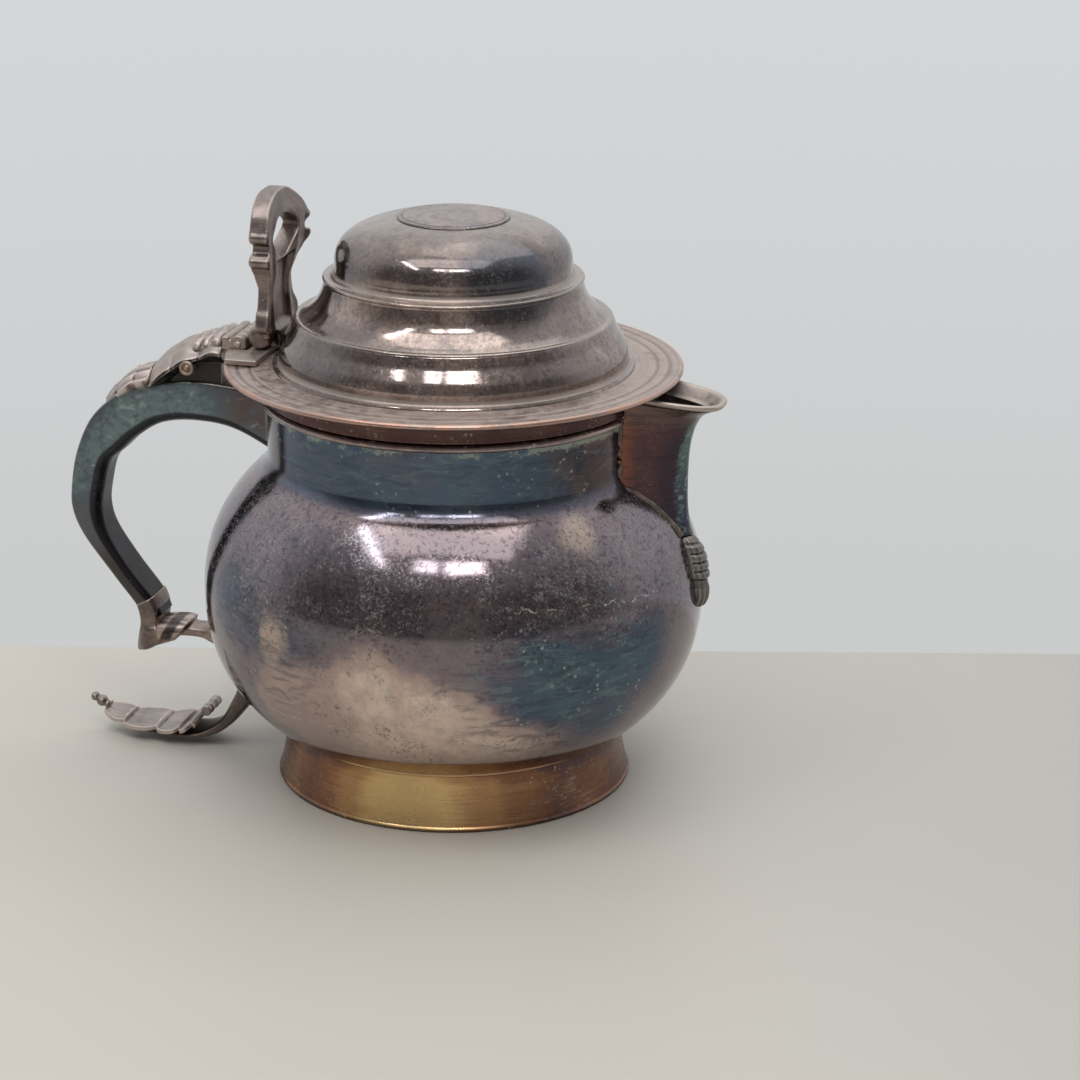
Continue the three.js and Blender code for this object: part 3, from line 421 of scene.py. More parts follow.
# Sizes in millimetres

BASE_Z = 21.2
BELLY_R, BELLY_Z = 80.8, 64.45
BELLY_UPPER, UPPER_POWER = 59.1, 2.13
BELLY_LOWER, LOWER_POWER = 59.67, 2.26
EDGE_Z = 22.5
NECK_R = 59.6
WALL = 1.5
SHOULDER_OUT = 2.9
SHOULDER_Z = BELLY_Z + BELLY_UPPER * (1 - ((NECK_R + SHOULDER_OUT) / BELLY_R) ** UPPER_POWER) \
    ** (1 / UPPER_POWER)
NECK_Z = SHOULDER_Z + 5.65
RIM_Z = SHOULDER_Z + 32.05
BRIM_Z = RIM_Z + 0.3
BRIM_TOP = BRIM_Z + 1.9
BRIM_R = NECK_R + 13.5
HINGE_X, HINGE_Z = -(BRIM_R - 4.6), BRIM_TOP + 3.2
KNUCKLE_R, HINGE_HALF = 2.8, 11.0
PLATE_Z = BRIM_TOP + 0.3
PLATE_TOP = PLATE_Z + 1.5
CROWN_R, CROWN_HEIGHT, CROWN_POWER = 37.7, 15.5, 2.65
CROWN_Z = PLATE_Z + 31.6
STRUT_Z = BELLY_Z - 24.0
ROOT_Z = BELLY_Z - 38.0


def belly_radius(z, inset=0.0):
    upper = z > BELLY_Z
    height = (BELLY_UPPER if upper else BELLY_LOWER) - inset
    power = UPPER_POWER if upper else LOWER_POWER
    share = min(1.0, abs(z - BELLY_Z) / height)
    return (BELLY_R - inset) * (1 - share ** power) ** (1 / power)


STRUT_R = belly_radius(STRUT_Z)
ROOT_R = belly_radius(ROOT_Z)
END_OUT = 5.8 - HINGE_X - NECK_R


def by_neck(out, fall):
    return (-(NECK_R + out), RIM_Z - fall)


def by_belly(out, rise):
    return (-(STRUT_R + out), STRUT_Z + rise)


def by_root(out, rise):
    return (-(ROOT_R + out), ROOT_Z + rise)


def by_table(out, height):
    return (-(STRUT_R + out), height)


def stations(place, rows):
    """Pairs of an outer and an inner point, each row four numbers from one datum"""
    return [(place(a, b), place(c, d)) for a, b, c, d in rows]


# Lines

def spline(points, count):
    """A smooth line of count points through a short list of points of any length"""
    points = np.asarray(points, float)
    last = len(points) - 1
    line = []
    for share in np.linspace(0.0, last, count):
        k = min(int(share), last - 1)
        t = share - k
        a, b, c, d = (points[min(max(j, 0), last)] for j in (k - 1, k, k + 1, k + 2))
        line.append(0.5 * (2 * b + (c - a) * t + (2 * a - 5 * b + 4 * c - d) * t ** 2
                           + (3 * b - a - 3 * c + d) * t ** 3))
    return np.array(line)


def curve(points, count):
    """A spline as a list of plain points"""
    return [tuple(p) for p in spline(points, count)]


def varying(values, count):
    """Values that run smoothly over the share of a length"""
    line = spline([(value, 0.0) for value in values], count)[:, 0]
    return lambda share: line[int(share * (count - 1))]


def eased(low, high, value):
    """0 below low and 1 above high, smoothly, over numbers or arrays"""
    t = np.clip((value - low) / (high - low), 0.0, 1.0)
    return t * t * (3 - 2 * t)


def softened(line, size, closed=False, least=12.0):
    """A line whose corners are turned into small curves"""
    line = [np.asarray(p, float) for p in line]
    count = len(line)
    made = []
    for k, point in enumerate(line):
        if not closed and k in (0, count - 1):
            made.append(point)
            continue
        before, after = line[k - 1] - point, line[(k + 1) % count] - point
        la, lb = np.linalg.norm(before), np.linalg.norm(after)
        if min(la, lb) < 1e-6:
            continue
        turn = 180 - math.degrees(math.acos(max(-1.0, min(1.0, before @ after / (la * lb)))))
        if turn < least:
            made.append(point)
            continue
        reach = min(size, la * 0.45, lb * 0.45)
        start, end = point + before / la * reach, point + after / lb * reach
        for t in (0.0, 0.25, 0.5, 0.75, 1.0):
            made.append((1 - t) ** 2 * start + 2 * t * (1 - t) * point + t * t * end)
    return made


# Meshes and pieces

def object_of(name, points, faces, sharp):
    """An object from points in millimetres, its faces turned outward"""
    mesh = bpy.data.meshes.new(name)
    mesh.from_pydata([at(*p) for p in points], [], faces)
    made = linked(name, mesh)
    tidied(made, sharp)
    return made


WELD = 2e-6


def tidied(made, sharp=50.0):
    """Welds an object's doubled points, closes its holes and turns its faces outward"""
    mesh = made.data
    work = bmesh.new()
    work.from_mesh(mesh)
    bmesh.ops.remove_doubles(work, verts=work.verts, dist=WELD)
    open_edges = [edge for edge in work.edges if edge.is_boundary]
    if open_edges:
        bmesh.ops.holes_fill(work, edges=open_edges, sides=0)
    bmesh.ops.recalc_face_normals(work, faces=work.faces)
    work.to_mesh(mesh)
    work.free()
    mesh.shade_smooth()
    mesh.set_sharp_from_angle(angle=math.radians(sharp))


def loft(name, rings, sharp=50.0):
    """A closed skin over rings with the same number of points"""
    rings = np.asarray(rings, float)
    rows, count = rings.shape[:2]
    points = rings.reshape(-1, 3).tolist()
    faces = []
    for k in range(rows - 1):
        for i in range(count):
            j = (i + 1) % count
            faces.append((k * count + i, k * count + j, (k + 1) * count + j, (k + 1) * count + i))
    for row in (0, rows - 1):
        hub = len(points)
        points.append(rings[row].mean(axis=0).tolist())
        start = row * count
        faces += [(hub, start + i, start + (i + 1) % count) for i in range(count)]
    return object_of(name, points, faces, sharp)


def bar(name, pairs, steps, section, sharp=50.0):
    """A bar in the X-Z plane between an outer and an inner line, given as pairs of points; the
    section gives points of depth below the outer line and place across the bar"""
    outer = spline([pair[0] for pair in pairs], steps + 1)
    inner = spline([pair[1] for pair in pairs], steps + 1)
    rings = []
    for k in range(steps + 1):
        across = inner[k] - outer[k]
        thick = np.linalg.norm(across)
        across = across / thick
        rings.append([(outer[k][0] + across[0] * d, y, outer[k][1] + across[1] * d)
                      for d, y in section(thick, k / steps)])
    return loft(name, rings, sharp)


def sweep(name, path, section, sharp):
    """A bar along a path of points; the section gives points across it for a share of the length.
    The first direction of the section stays as level as it can."""
    path = np.asarray(path, float)
    count = len(path)
    rings = []
    for k in range(count):
        ahead = path[min(k + 1, count - 1)] - path[max(k - 1, 0)]
        ahead = ahead / np.linalg.norm(ahead)
        side = np.cross(ahead, (0, 0, 1.0))
        if np.linalg.norm(side) < 1e-4:
            side = np.array((0, 1.0, 0))
        side = side / np.linalg.norm(side)
        up = np.cross(side, ahead)
        rings.append([path[k] + side * a + up * b for a, b in section(k / (count - 1))])
    return loft(name, rings, sharp)


def oval(half_a, half_b, count, power=1.0):
    """Points of an oval; a power below 1 squares it"""
    made = []
    for k in range(count):
        angle = 2 * math.pi * k / count
        c, s = math.cos(angle), math.sin(angle)
        made.append((half_a * math.copysign(abs(c) ** power, c),
                     half_b * math.copysign(abs(s) ** power, s)))
    return made


def ball(name, centre, radii):
    count, rows = 28, 18
    rings = []
    for k in range(1, rows):
        angle = math.pi * k / rows
        ring = oval(radii[0] * math.sin(angle), radii[1] * math.sin(angle), count)
        z = centre[2] - radii[2] * math.cos(angle)
        rings.append([(centre[0] + a, centre[1] + b, z) for a, b in ring])
    return loft(name, rings)


def ribbon(widths, steps, count, power):
    """A bar's section: an oval whose half width runs along the bar"""
    half = varying(widths, steps)
    return lambda thick, share: [(thick / 2 * (1 - a), half(share) * b)
                                 for a, b in oval(1, 1, count, power)]


def extruded(name, outline, push):
    """A flat outline drawn out into a solid; push moves each far point to its place"""
    shape = bmesh.new()
    face = shape.faces.new([shape.verts.new(at(*p)) for p in outline])
    raised = bmesh.ops.extrude_face_region(shape, geom=[face])
    for item in raised["geom"]:
        if isinstance(item, bmesh.types.BMVert):
            push(item.co)
    mesh = bpy.data.meshes.new(name)
    shape.to_mesh(mesh)
    shape.free()
    made = linked(name, mesh)
    tidied(made)
    return made


def roll(name, centre, profile, count):
    """A turned bar across the jug; the profile is a list of (place across, radius)"""
    rings = [[(centre[0] + a, centre[1] + y, centre[2] + b) for a, b in oval(r, r, count)]
             for y, r in profile]
    return loft(name, rings)


def both_ways(half):
    """A roll's profile from its left end to its middle, and the same again to its right end"""
    return half + [(-y, r) for y, r in reversed(half) if y]


def build_in(made):
    """Builds an object's modifiers into its mesh"""
    graph = bpy.context.evaluated_depsgraph_get()
    mesh = bpy.data.meshes.new_from_object(made.evaluated_get(graph), depsgraph=graph)
    old = made.data
    made.modifiers.clear()
    made.data = mesh
    if old.users == 0:
        bpy.data.meshes.remove(old)


def cut(made, cutter, keep=False, sharp=50.0):
    """Takes the cutter out of an object"""
    change = made.modifiers.new("cut", "BOOLEAN")
    change.operation = "DIFFERENCE"
    change.solver = "EXACT"
    change.object = cutter
    build_in(made)
    if not keep:
        drop(cutter)
    tidied(made, sharp)


def drop(made):
    mesh = made.data
    bpy.data.objects.remove(made)
    if mesh.users == 0:
        bpy.data.meshes.remove(mesh)


def joined(name, parts):
    """Several objects' meshes as one"""
    work = bmesh.new()
    for part in parts:
        work.from_mesh(part.data)
    mesh = bpy.data.meshes.new(name)
    work.to_mesh(mesh)
    work.free()
    for part in parts:
        drop(part)
    mesh.shade_smooth()
    return linked(name, mesh)


def cast(name, parts, grain, rounds):
    """Overlapping forms run together into one casting with soft hollows"""
    made = joined(name, parts)
    remesh = made.modifiers.new("run together", "REMESH")
    remesh.mode = "VOXEL"
    remesh.voxel_size = grain * MM
    remesh.use_smooth_shade = True
    smooth = made.modifiers.new("soften", "SMOOTH")
    smooth.factor = 0.5
    smooth.iterations = rounds
    build_in(made)
    made.data.shade_smooth()
    return made


def read(items, name, wide, kind=float):
    """A value of every vertex or edge as rows of an array"""
    values = np.empty(len(items) * wide, kind)
    items.foreach_get(name, values)
    return values.reshape(-1, wide)


def mark_hollows(made, spread, gain):
    """Stores how deep in a hollow each point lies: 0.5 on a flat, more in a hollow, less on a ridge"""
    mesh = made.data
    places, normals = read(mesh.vertices, "co", 3), read(mesh.vertices, "normal", 3)
    a, b = read(mesh.edges, "vertices", 2, int).T
    degree = np.bincount(np.concatenate((a, b)), minlength=len(places)).astype(float)
    degree[degree == 0] = 1.0

    def mean_of(values):
        total = np.zeros_like(values)
        np.add.at(total, a, values[b])
        np.add.at(total, b, values[a])
        return total / (degree[:, None] if values.ndim == 2 else degree)

    wide = places
    for _ in range(spread):
        wide = (wide + mean_of(wide)) / 2
    depth = ((wide - places) * normals).sum(axis=1) / MM
    for _ in range(2):
        depth = (depth + mean_of(depth)) / 2
    layer = mesh.attributes.new("hollow", "FLOAT", "POINT")
    layer.data.foreach_set("value", np.clip(0.5 + gain * depth, 0.0, 1.0))


def bent(made, rule):
    """Moves each point of an object by a rule from place to place, in millimetres of the jug"""
    mesh = made.data
    for vertex in mesh.vertices:
        x, y, z = (vertex.co.x - AXIS_X) / MM, vertex.co.y / MM, vertex.co.z / MM
        vertex.co = at(*rule(x, y, z))
    mesh.update()


def set_piece(made, body, nodes, material, hollows=None):
    """Gives an object its finish, the body that it rides on and the nodes that it stands for"""
    if hollows:
        mark_hollows(made, *hollows)
    mesh = made.data
    mesh.materials.clear()
    mesh.materials.append(material)
    for polygon in mesh.polygons:
        polygon.material_index = 0
    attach(made, body)
    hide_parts(*nodes)


# Turned work: one tree turns any profile about the jug's axis

def make_turned_tree():
    """The tree, and the identifier of each of its inputs by name"""
    tree = bpy.data.node_groups.new("turned work", "GeometryNodeTree")
    words = Words(tree)
    face = tree.interface
    face.new_socket("Profile", in_out="INPUT", socket_type="NodeSocketGeometry")
    sockets = {}
    for name, kind, value in (("Rows", "Int", 2), ("Sides", "Int", 128), ("Start", "Float", 0.0),
                              ("Sweep", "Float", 2 * math.pi), ("Axis", "Vector", (0, 0, 0)),
                              ("Waver", "Float", 0.0), ("Waver Size", "Float", 0.03),
                              ("Finish", "Material", None)):
        socket = face.new_socket(name, in_out="INPUT", socket_type="NodeSocket" + kind)
        if value is not None:
            socket.default_value = value
        sockets[name] = socket.identifier
    face.new_socket("Turned", in_out="OUTPUT", socket_type="NodeSocketGeometry")

    given = words.node("NodeGroupInput").outputs
    rows, sides, start, sweep_angle, waver, waver_size = (
        Amount(words, given[name]) for name in ("Rows", "Sides", "Start", "Sweep", "Waver", "Waver Size"))
    grid = words.node("GeometryNodeMeshGrid", Vertices_X=sides + 1.0, Vertices_Y=rows)
    index = Amount(words, words.node("GeometryNodeInputIndex").outputs[0])
    angle = start + sweep_angle * (words.maths("FLOOR", index / rows) / sides)
    place = words.node("GeometryNodeInputPosition").outputs[0]
    row = words.maths("FLOORED_MODULO", index, rows)
    sample = words.node("GeometryNodeSampleIndex", {"data_type": "FLOAT_VECTOR", "domain": "POINT"},
                        Geometry=given["Profile"], Value=place, Index=row)
    out, _, height = words.parts(sample.outputs[0])
    cos, sin = words.maths("COSINE", angle), words.maths("SINE", angle)
    scaled = words.vector("SCALE", words.point(out * cos, out * sin, height),
                          words.maths("DIVIDE", 1.0, waver_size))
    uneven = words.node("ShaderNodeTexNoise", Vector=scaled, Scale=1.0, Detail=1.0).outputs[0]
    radius = out - waver * uneven * words.maths("GREATER_THAN", out, 1e-5)
    moved = words.vector("ADD", words.point(radius * cos, radius * sin, height), given["Axis"])
    made = words.node("GeometryNodeSetPosition", Geometry=grid.outputs["Mesh"], Position=moved)
    for kind, values in (("MergeByDistance", {"Distance": 1e-6}), ("SetShadeSmooth", {}),
                         ("RealizeInstances", {}), ("SetMaterial", {"Material": given["Finish"]})):
        made = words.node("GeometryNode" + kind, Geometry=made.outputs[0], **values)
    tree.links.new(made.outputs[0], words.node("NodeGroupOutput").inputs[0])
    return tree, sockets


TURNED, TURNED_INPUTS = make_turned_tree()


def turned(name, profile, sides, start=0.0, sweep_angle=360.0, waver=0.0, waver_size=30.0, sharp=35.0):
    """A profile of (radius, height) points turned about the jug's axis. A profile that ends on the axis
    at both ends is a closed lump; any other one is a ring that closes on its first point."""
    points = [(max(r, 0.0), z) for r, z in profile]
    if points[0][0] > 0 or points[-1][0] > 0:
        points.append(points[0])
    mesh = bpy.data.meshes.new(name)
    edges = [(k, k + 1) for k in range(len(points) - 1)]
    mesh.from_pydata([(r * MM, 0, z * MM) for r, z in points], edges, [])
    made = linked(name, mesh)
    turning = made.modifiers.new("turned", "NODES")
    turning.node_group = TURNED
    for key, value in (("Rows", len(points)), ("Sides", sides), ("Start", math.radians(start)),
                       ("Sweep", math.radians(sweep_angle)), ("Axis", (AXIS_X, 0.0, 0.0)),
                       ("Waver", waver * MM), ("Waver Size", waver_size * MM), ("Finish", None)):
        turning[TURNED_INPUTS[key]] = value
    build_in(made)
    tidied(made, sharp)
    return made


# Foot, body and neck

def belly_line(inset, low, high, count):
    """The belly's outline from one height to another, inside by an inset"""
    def swing(z):
        return math.asin(max(-1.0, min(1.0, (z - BELLY_Z) / (BELLY_UPPER - inset))))
    angles = np.linspace(swing(low), swing(high), count)
    heights = BELLY_Z + np.sin(angles) * (BELLY_UPPER - inset)
    return [(belly_radius(z, inset), z) for z in heights]


def neck_fillet(inset):
    """The curve from the shoulder into the neck"""
    start = np.array((NECK_R + SHOULDER_OUT - inset, SHOULDER_Z - inset / 2))
    corner = np.array((NECK_R - inset, SHOULDER_Z + SHOULDER_OUT - inset / 2))
    end = np.array((NECK_R - inset, NECK_Z))
    return [tuple((1 - t) ** 2 * start + 2 * t * (1 - t) * corner + t * t * end)
            for t in np.linspace(0, 1, 10)]


def body_lump():
    """The body as a full lump, a little inside its skin: soldered pieces are cut back to it"""
    inset = 0.7
    line = [(0, BASE_Z + inset), (belly_radius(EDGE_Z) - inset, BASE_Z + inset)]
    line += belly_line(inset, EDGE_Z + inset, SHOULDER_Z, 44) + neck_fillet(inset)[1:]
    line += [(NECK_R - inset, RIM_Z + 24), (0, RIM_Z + 24)]
    return turned("body_lump", line, sides=192)


def make_body(material):
    outside = [(0, BASE_Z), (belly_radius(EDGE_Z) - 1.5, BASE_Z)] + belly_line(0, EDGE_Z, SHOULDER_Z, 110)
    outside += neck_fillet(0)[1:] + [(NECK_R, z) for z in np.linspace(NECK_Z + 3, RIM_Z, 7)]
    inside = [(NECK_R - WALL, z) for z in np.linspace(RIM_Z, NECK_Z + 3, 7)] + neck_fillet(WALL)[::-1]
    inside += belly_line(WALL, EDGE_Z + WALL, SHOULDER_Z - WALL / 2, 70)[::-1][1:] + [(0, BASE_Z + WALL)]
    line = softened(outside + inside, 0.45, least=25.0)
    body = turned("body", line, sides=288, waver=0.16, waver_size=42.0, sharp=40.0)
    throat, sill, low = RIM_Z - 6.1, NECK_Z - 1, SHOULDER_Z - 6
    mouth = softened([(-12, throat), (-12, sill), (-4, low), (4, low), (12, sill), (12, throat)], 3.0,
                     closed=True)
    rings = [[(x, y, z) for y, z in mouth] for x in (NECK_R / 2, NECK_R + 8)]
    cut(body, loft("mouth", rings), sharp=40.0)
    set_piece(body, "jug", ["body_shell"], material)


def make_foot(material):
    outer = [(57.3, 0), (57.7, 0.35), (57.75, 0.9), (57.45, 1.35)]
    outer += curve([(57.15, 1.7), (56.1, 6.46), (55.14, 12.16), (54.55, 16.6), (54.45, 17.6)], 30)
    outer += curve([(54.7, 18.0), (54.5, 18.7), (53.6, 19.25), (53.0, 19.9), (52.8, 20.9)], 14)
    inner = [(48.3, 20.9), (48.3, 19.4), (51.6, 19.4), (53.0, 16.6), (54.3, 7.6), (55.9, 0.4), (56.1, 0)]
    made = turned("foot", softened(outer + inner, 0.3, closed=True), sides=288, waver=0.12, waver_size=25.0)
    set_piece(made, "jug", ["foot_ring"], material)


def make_neck_wires(bead_material, band_material):
    low = RIM_Z - 10.1
    inner = NECK_R + 0.05
    bead = [(inner, low - 0.15)]
    for angle in np.linspace(-86, 86, 18):
        a = math.radians(angle)
        bead.append((inner + 0.25 + 1.8 * math.cos(a), low + 1.0 + 1.3 * math.sin(a)))
    bead.append((inner, low + 2.35))
    opening = math.degrees(math.asin(16.9 / NECK_R))
    made = turned("neck_wire", bead, sides=288, start=opening, sweep_angle=360 - 2 * opening)
    set_piece(made, "jug", ["neck_bead"], bead_material)
    base = low + 2.4
    band = [(inner, base), (inner + 0.9, base + 0.1), (NECK_R + 1.25, base + 0.5),
            (NECK_R + 1.1, base + 1.6), (NECK_R + 1.1, RIM_Z - 1.3), (NECK_R + 1.3, RIM_Z - 0.8),
            (NECK_R + 1.15, RIM_Z - 0.2), (NECK_R + 0.7, RIM_Z), (inner, RIM_Z)]
    opening = math.degrees(math.asin(14.6 / NECK_R))
    made = turned("rim_strip", softened(band, 0.3), sides=288, start=opening, sweep_angle=360 - 2 * opening)
    set_piece(made, "jug", ["rim_band"], band_material)


# Spout

SPOUT_ROOT = NECK_R - 9.6
LIP_SLOPE = 0.13
LIP_REACH = 28.6
STRIP_OUT = 1.35
# How far out from the neck, how far below the rim, how square, and how much of a lip
KEEL = [(19.1, 48.7, 1.5, 0), (17.9, 44.4, 1.5, 0), (17.2, 37.8, 1.5, 0), (17.1, 31.2, 1.5, 0),
        (17.2, 26.2, 1.45, 0), (17.5, 21.3, 1.35, 0.1), (18.1, 17.3, 1.25, 0.3), (19.4, 13.0, 1.1, 0.6),
        (21.9, 9.2, 0.9, 0.85), (26.4, 6.7, 0.7, 1.0)]


def keel_x(row, inset):
    """The keel's place, clear of the belly, run smoothly from one rule to the other"""
    a, b = NECK_R + row[0], belly_radius(RIM_Z - row[1]) + 2.9
    return max(a, b) + 0.25 * math.exp(-abs(a - b) / 0.8) - inset


def spout_ring(row, inset, count=40):
    """One level of the spout from its near edge to its far edge, for a row of the keel"""
    _, fall, power, lip = row
    lip = min(max(lip, 0.0), 1.0)
    reach = keel_x(row, inset) - SPOUT_ROOT
    half = 17.0 - 3.0 * lip - inset
    ring = []
    for k in range(-count, count + 1):
        angle = k / count * math.pi / 2
        x = reach * abs(math.cos(angle)) ** power
        y = half * math.copysign(abs(math.sin(angle)) ** power, angle)
        ring.append((SPOUT_ROOT + x, y, RIM_Z - fall + lip * LIP_SLOPE * (reach - x)))
    return ring


def spout_edge(row):
    """Where one level of the spout meets the body, on the side towards the camera"""
    z = row[1]
    wall = belly_radius(RIM_Z - z) if RIM_Z - z < SHOULDER_Z else NECK_R
    ring = np.array(spout_ring(row, 0, 90))
    away = np.hypot(ring[:, 0], ring[:, 1]) - max(wall, NECK_R)
    for k in range(len(ring) // 2):
        if away[k] > 0:
            return ring[k]
    return None


def make_spout(material, lip_material, seam_material, lump):
    rows = spline(KEEL, 90)
    outside = loft("spout", [spout_ring(row, 0) for row in rows], sharp=60)
    hollow = [spout_ring(row, 1.2) for row in spline(KEEL[1:], 70)]
    over = [[(x, y, z + 6) for x, y, z in hollow[-1]]]
    cut(outside, loft("hollow", hollow + over))
    cut(outside, lump, keep=True, sharp=35)
    set_piece(outside, "jug", ["spout_shell"], material)

    def outline(inset):
        reach = NECK_R + LIP_REACH - SPOUT_ROOT - inset
        half = 14.5 - inset
        line = []
        for k in range(-48, 49):
            angle = k / 48 * math.pi / 2
            line.append((SPOUT_ROOT + reach * abs(math.cos(angle)) ** 0.72,
                         half * math.copysign(abs(math.sin(angle)) ** 0.72, angle)))
        return line

    top = RIM_Z - 1.0
    # How far in from the lip's outline, and how far above its top
    rows = [(1.9, -2.4), (1.2, -2.05), (0.5, -1.6), (0.05, -1.0), (0.0, -0.5), (0.25, -0.1), (0.7, 0.05),
            (1.3, -0.1), (2.0, -0.55), (3.2, -1.4), (4.8, -2.7), (6.0, -3.5), (6.4, -3.85), (6.0, -4.25),
            (4.0, -3.2), (2.9, -2.75)]
    rings = [[(x, y, top + lift - LIP_SLOPE * (x - NECK_R)) for x, y in outline(inset)]
             for inset, lift in rows]
    count, length = len(rings), len(rings[0])
    points = [p for ring in rings for p in ring]
    starts = [(a * length, (a + 1) % count * length) for a in range(count)]
    faces = [(a + i, a + i + 1, b + i + 1, b + i) for a, b in starts for i in range(length - 1)]
    lip = object_of("spout_rim", points, faces, sharp=60)
    strip = NECK_R + STRIP_OUT
    collar = turned("collar", [(0, 90), (strip, 90), (strip, 160), (0, 160)], sides=192)
    cut(lip, collar, sharp=60)
    set_piece(lip, "jug", ["spout_lip"], lip_material, hollows=(4, 3.0))

    def bead(share):
        size = 1.05 + 0.16 * math.sin(share * 37.0) * math.sin(share * 11.0)
        return oval(size, size, 14)

    seam = [p for p in (spout_edge(row) for row in spline(KEEL, 60)) if p is not None]
    for side, name in ((1, "near"), (-1, "far")):
        path = [(p[0] - 0.35, p[1] * side, p[2]) for p in seam]
        solder = sweep("spout_seam_" + name, path[::2], bead, sharp=80)
        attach(solder, "jug")
        solder.data.materials.append(seam_material)


def make_drop(material, lump):
    rows = [(2.4, 0.0, 1.6), (3.2, 0.9, 2.9), (4.3, 3.0, 3.7), (4.7, 6.2, 4.4), (4.5, 10.5, 4.5),
            (4.3, 13.6, 4.0), (3.5, 15.4, 2.9), (3.8, 17.8, 3.2), (3.5, 20.8, 2.8), (2.5, 23.2, 1.9),
            (0.8, 24.4, 0.9)]
    rings = []
    for proud, fall, half in spline(rows, 120):
        z = RIM_Z - KEEL[0][1] - fall
        x = belly_radius(z) + proud
        notch = 0.45 * (eased(0.3, 0.9, math.cos(fall * 2 * math.pi / 2.9)) if fall < 15 else 0)
        flute = 0.32 if fall > 16.5 else 0.16
        ring = []
        for k in range(56):
            angle = 2 * math.pi * k / 56
            front = math.cos(angle) > 0
            fluted = flute * (0.5 + 0.5 * math.cos(angle * 14)) * front
            depth = notch * eased(-0.2, 0.4, math.cos(angle)) + fluted
            size = 4.0 if front else 9.0
            ring.append((x - 4 - depth + size * math.cos(angle), (half - depth * 0.8) * math.sin(angle), z))
        rings.append(ring)
    made = loft("drop", rings, sharp=70)
    cut(made, lump, keep=True, sharp=70)
    set_piece(made, "jug", ["spout_drop"], material, hollows=(5, 3.5))


# Handle

HANDLE_LINE = stations(by_neck, [
    (-6, 12.0, -6, 34.5), (12.4, 9.7, 11.9, 25.3), (26.4, 9.0, 25.9, 23.2), (40.4, 11.0, 37.7, 24.7),
    (51.9, 15.3, 46.4, 29.9), (61.4, 23.9, 52.2, 35.3), (67.0, 35.9, 56.6, 39.8),
    (69.3, 47.9, 58.9, 48.4)
]) + stations(by_belly, [
    (52.7, 39.1, 43.4, 39.0), (48.7, 30.1, 41.3, 31.0), (38.8, 17.0, 34.4, 20.1),
    (31.6, 7.6, 26.3, 9.9), (30.1, 2.2, 23.4, 4.2)
])


def handle_section(thick, share):
    """Slightly bellied sides, a small bevel at the outer edges, rounder inner edges"""
    half = 7.92 - 0.5 * eased(0.85, 1.0, share)
    inner_round = min(4.8, thick * 0.46)

    def corner(depth, y, size, first):
        return [(depth + size * math.cos(a), y + size * math.sin(a))
                for a in np.linspace(first, first + math.pi / 2, 7)]

    ring = corner(1.1, half - 1.1, 1.05, math.pi / 2)[::-1]
    ring += [(d, half + 0.08 * math.sin(math.pi * (d - 1) / (thick - 1 - inner_round)))
             for d in np.linspace(1.5, thick - inner_round - 0.4, 6)]
    ring += [(thick - inner_round + inner_round * math.cos(a),
              half - inner_round + inner_round * math.sin(a)) for a in np.linspace(math.pi / 2, 0, 13)]
    ring += [(thick, y) for y in np.linspace(half - inner_round - 0.5, 0.4, 3)]
    back = [(d, -y) for d, y in reversed(ring)]
    outer = [(0.02, y) for y in np.linspace(-(half - 1.6), half - 1.6, 6)]
    return ring + back + outer


def make_handle(material, lump):
    made = bar("handle", HANDLE_LINE, 150, handle_section, sharp=42)
    cut(made, lump, keep=True, sharp=42)
    set_piece(made, "jug", ["handle_scroll"], material, hollows=(5, 2.0))


def leaf_section(widths, fall, edge, ribs, rib_depth, lobes, lobe_depth, steps=0, step_depth=0.0,
                 low_fade=0.08):
    """A domed or dished leaf: ribs along it, lobed edges, and segments that overlap like tiles"""
    width = varying(widths, 400)

    def section(thick, share):
        half = width(share) * (1.0 - lobe_depth * (1 - abs(math.sin(math.pi * lobes * share))) ** 1.5)
        ends = eased(0.0, low_fade, share) * eased(1.0, 1.0 - low_fade, share)
        tile = 0.0
        if steps:
            within = (share * steps) % 1.0
            tile = step_depth * (within * eased(1.0, 0.9, within) if step_depth > 0
                                 else (within - 1) * eased(0.0, 0.1, within))
        top = []
        for v in np.linspace(-1, 1, 41):
            rib = rib_depth * ends * (0.5 - 0.5 * math.cos(math.pi * ribs * (v + 1))) * (1 - 0.3 * abs(v))
            top.append((fall * v * v + rib + tile * (1 - 0.4 * v * v), v * half))
        low = [(fall + edge + tile * 0.6, half * 0.99), (thick * 0.6 + (fall + edge) * 0.4, half * 0.8),
               (thick, half * 0.5)]
        return top + low + [(thick, y) for y in np.linspace(half * 0.3, -half * 0.3, 5)] \
            + [(d, -y) for d, y in reversed(low)]
    return section


LEAF_TIP_LINE = stations(by_neck, [
    (59.1, 18.8, 57.5, 21.5), (56.3, 15.1, 53.4, 19.4), (50.7, 9.5, 48.4, 16.0),
    (45.2, 6.3, 43.8, 14.2), (40.9, 5.4, 40.2, 12.8)
])
LEAF_CAP_LINE = stations(by_neck, [
    (40.6, 5.2, 40.3, 12.0), (36.6, 1.1, 35.4, 10.6), (32.7, -1.7, 31.4, 7.6), (28.3, -4.3, 27.6, 4.2),
    (END_OUT + 7.9, -5.6, END_OUT + 8.3, 2.8), (END_OUT + 2.6, -7.9, END_OUT + 3.7, 2.4),
    (END_OUT, -7.4, END_OUT, 2.3)
])
CORE_LINE = stations(by_neck, [
    (35.5, 6.5, 35.8, 13.0), (31.0, 3.4, 31.0, 12.0), (26.0, 1.0, 26.0, 11.0),
    (END_OUT + 6.0, 0.6, END_OUT + 6.0, 11.0), (END_OUT + 1.3, 0.6, END_OUT + 1.3, 12.0)
])


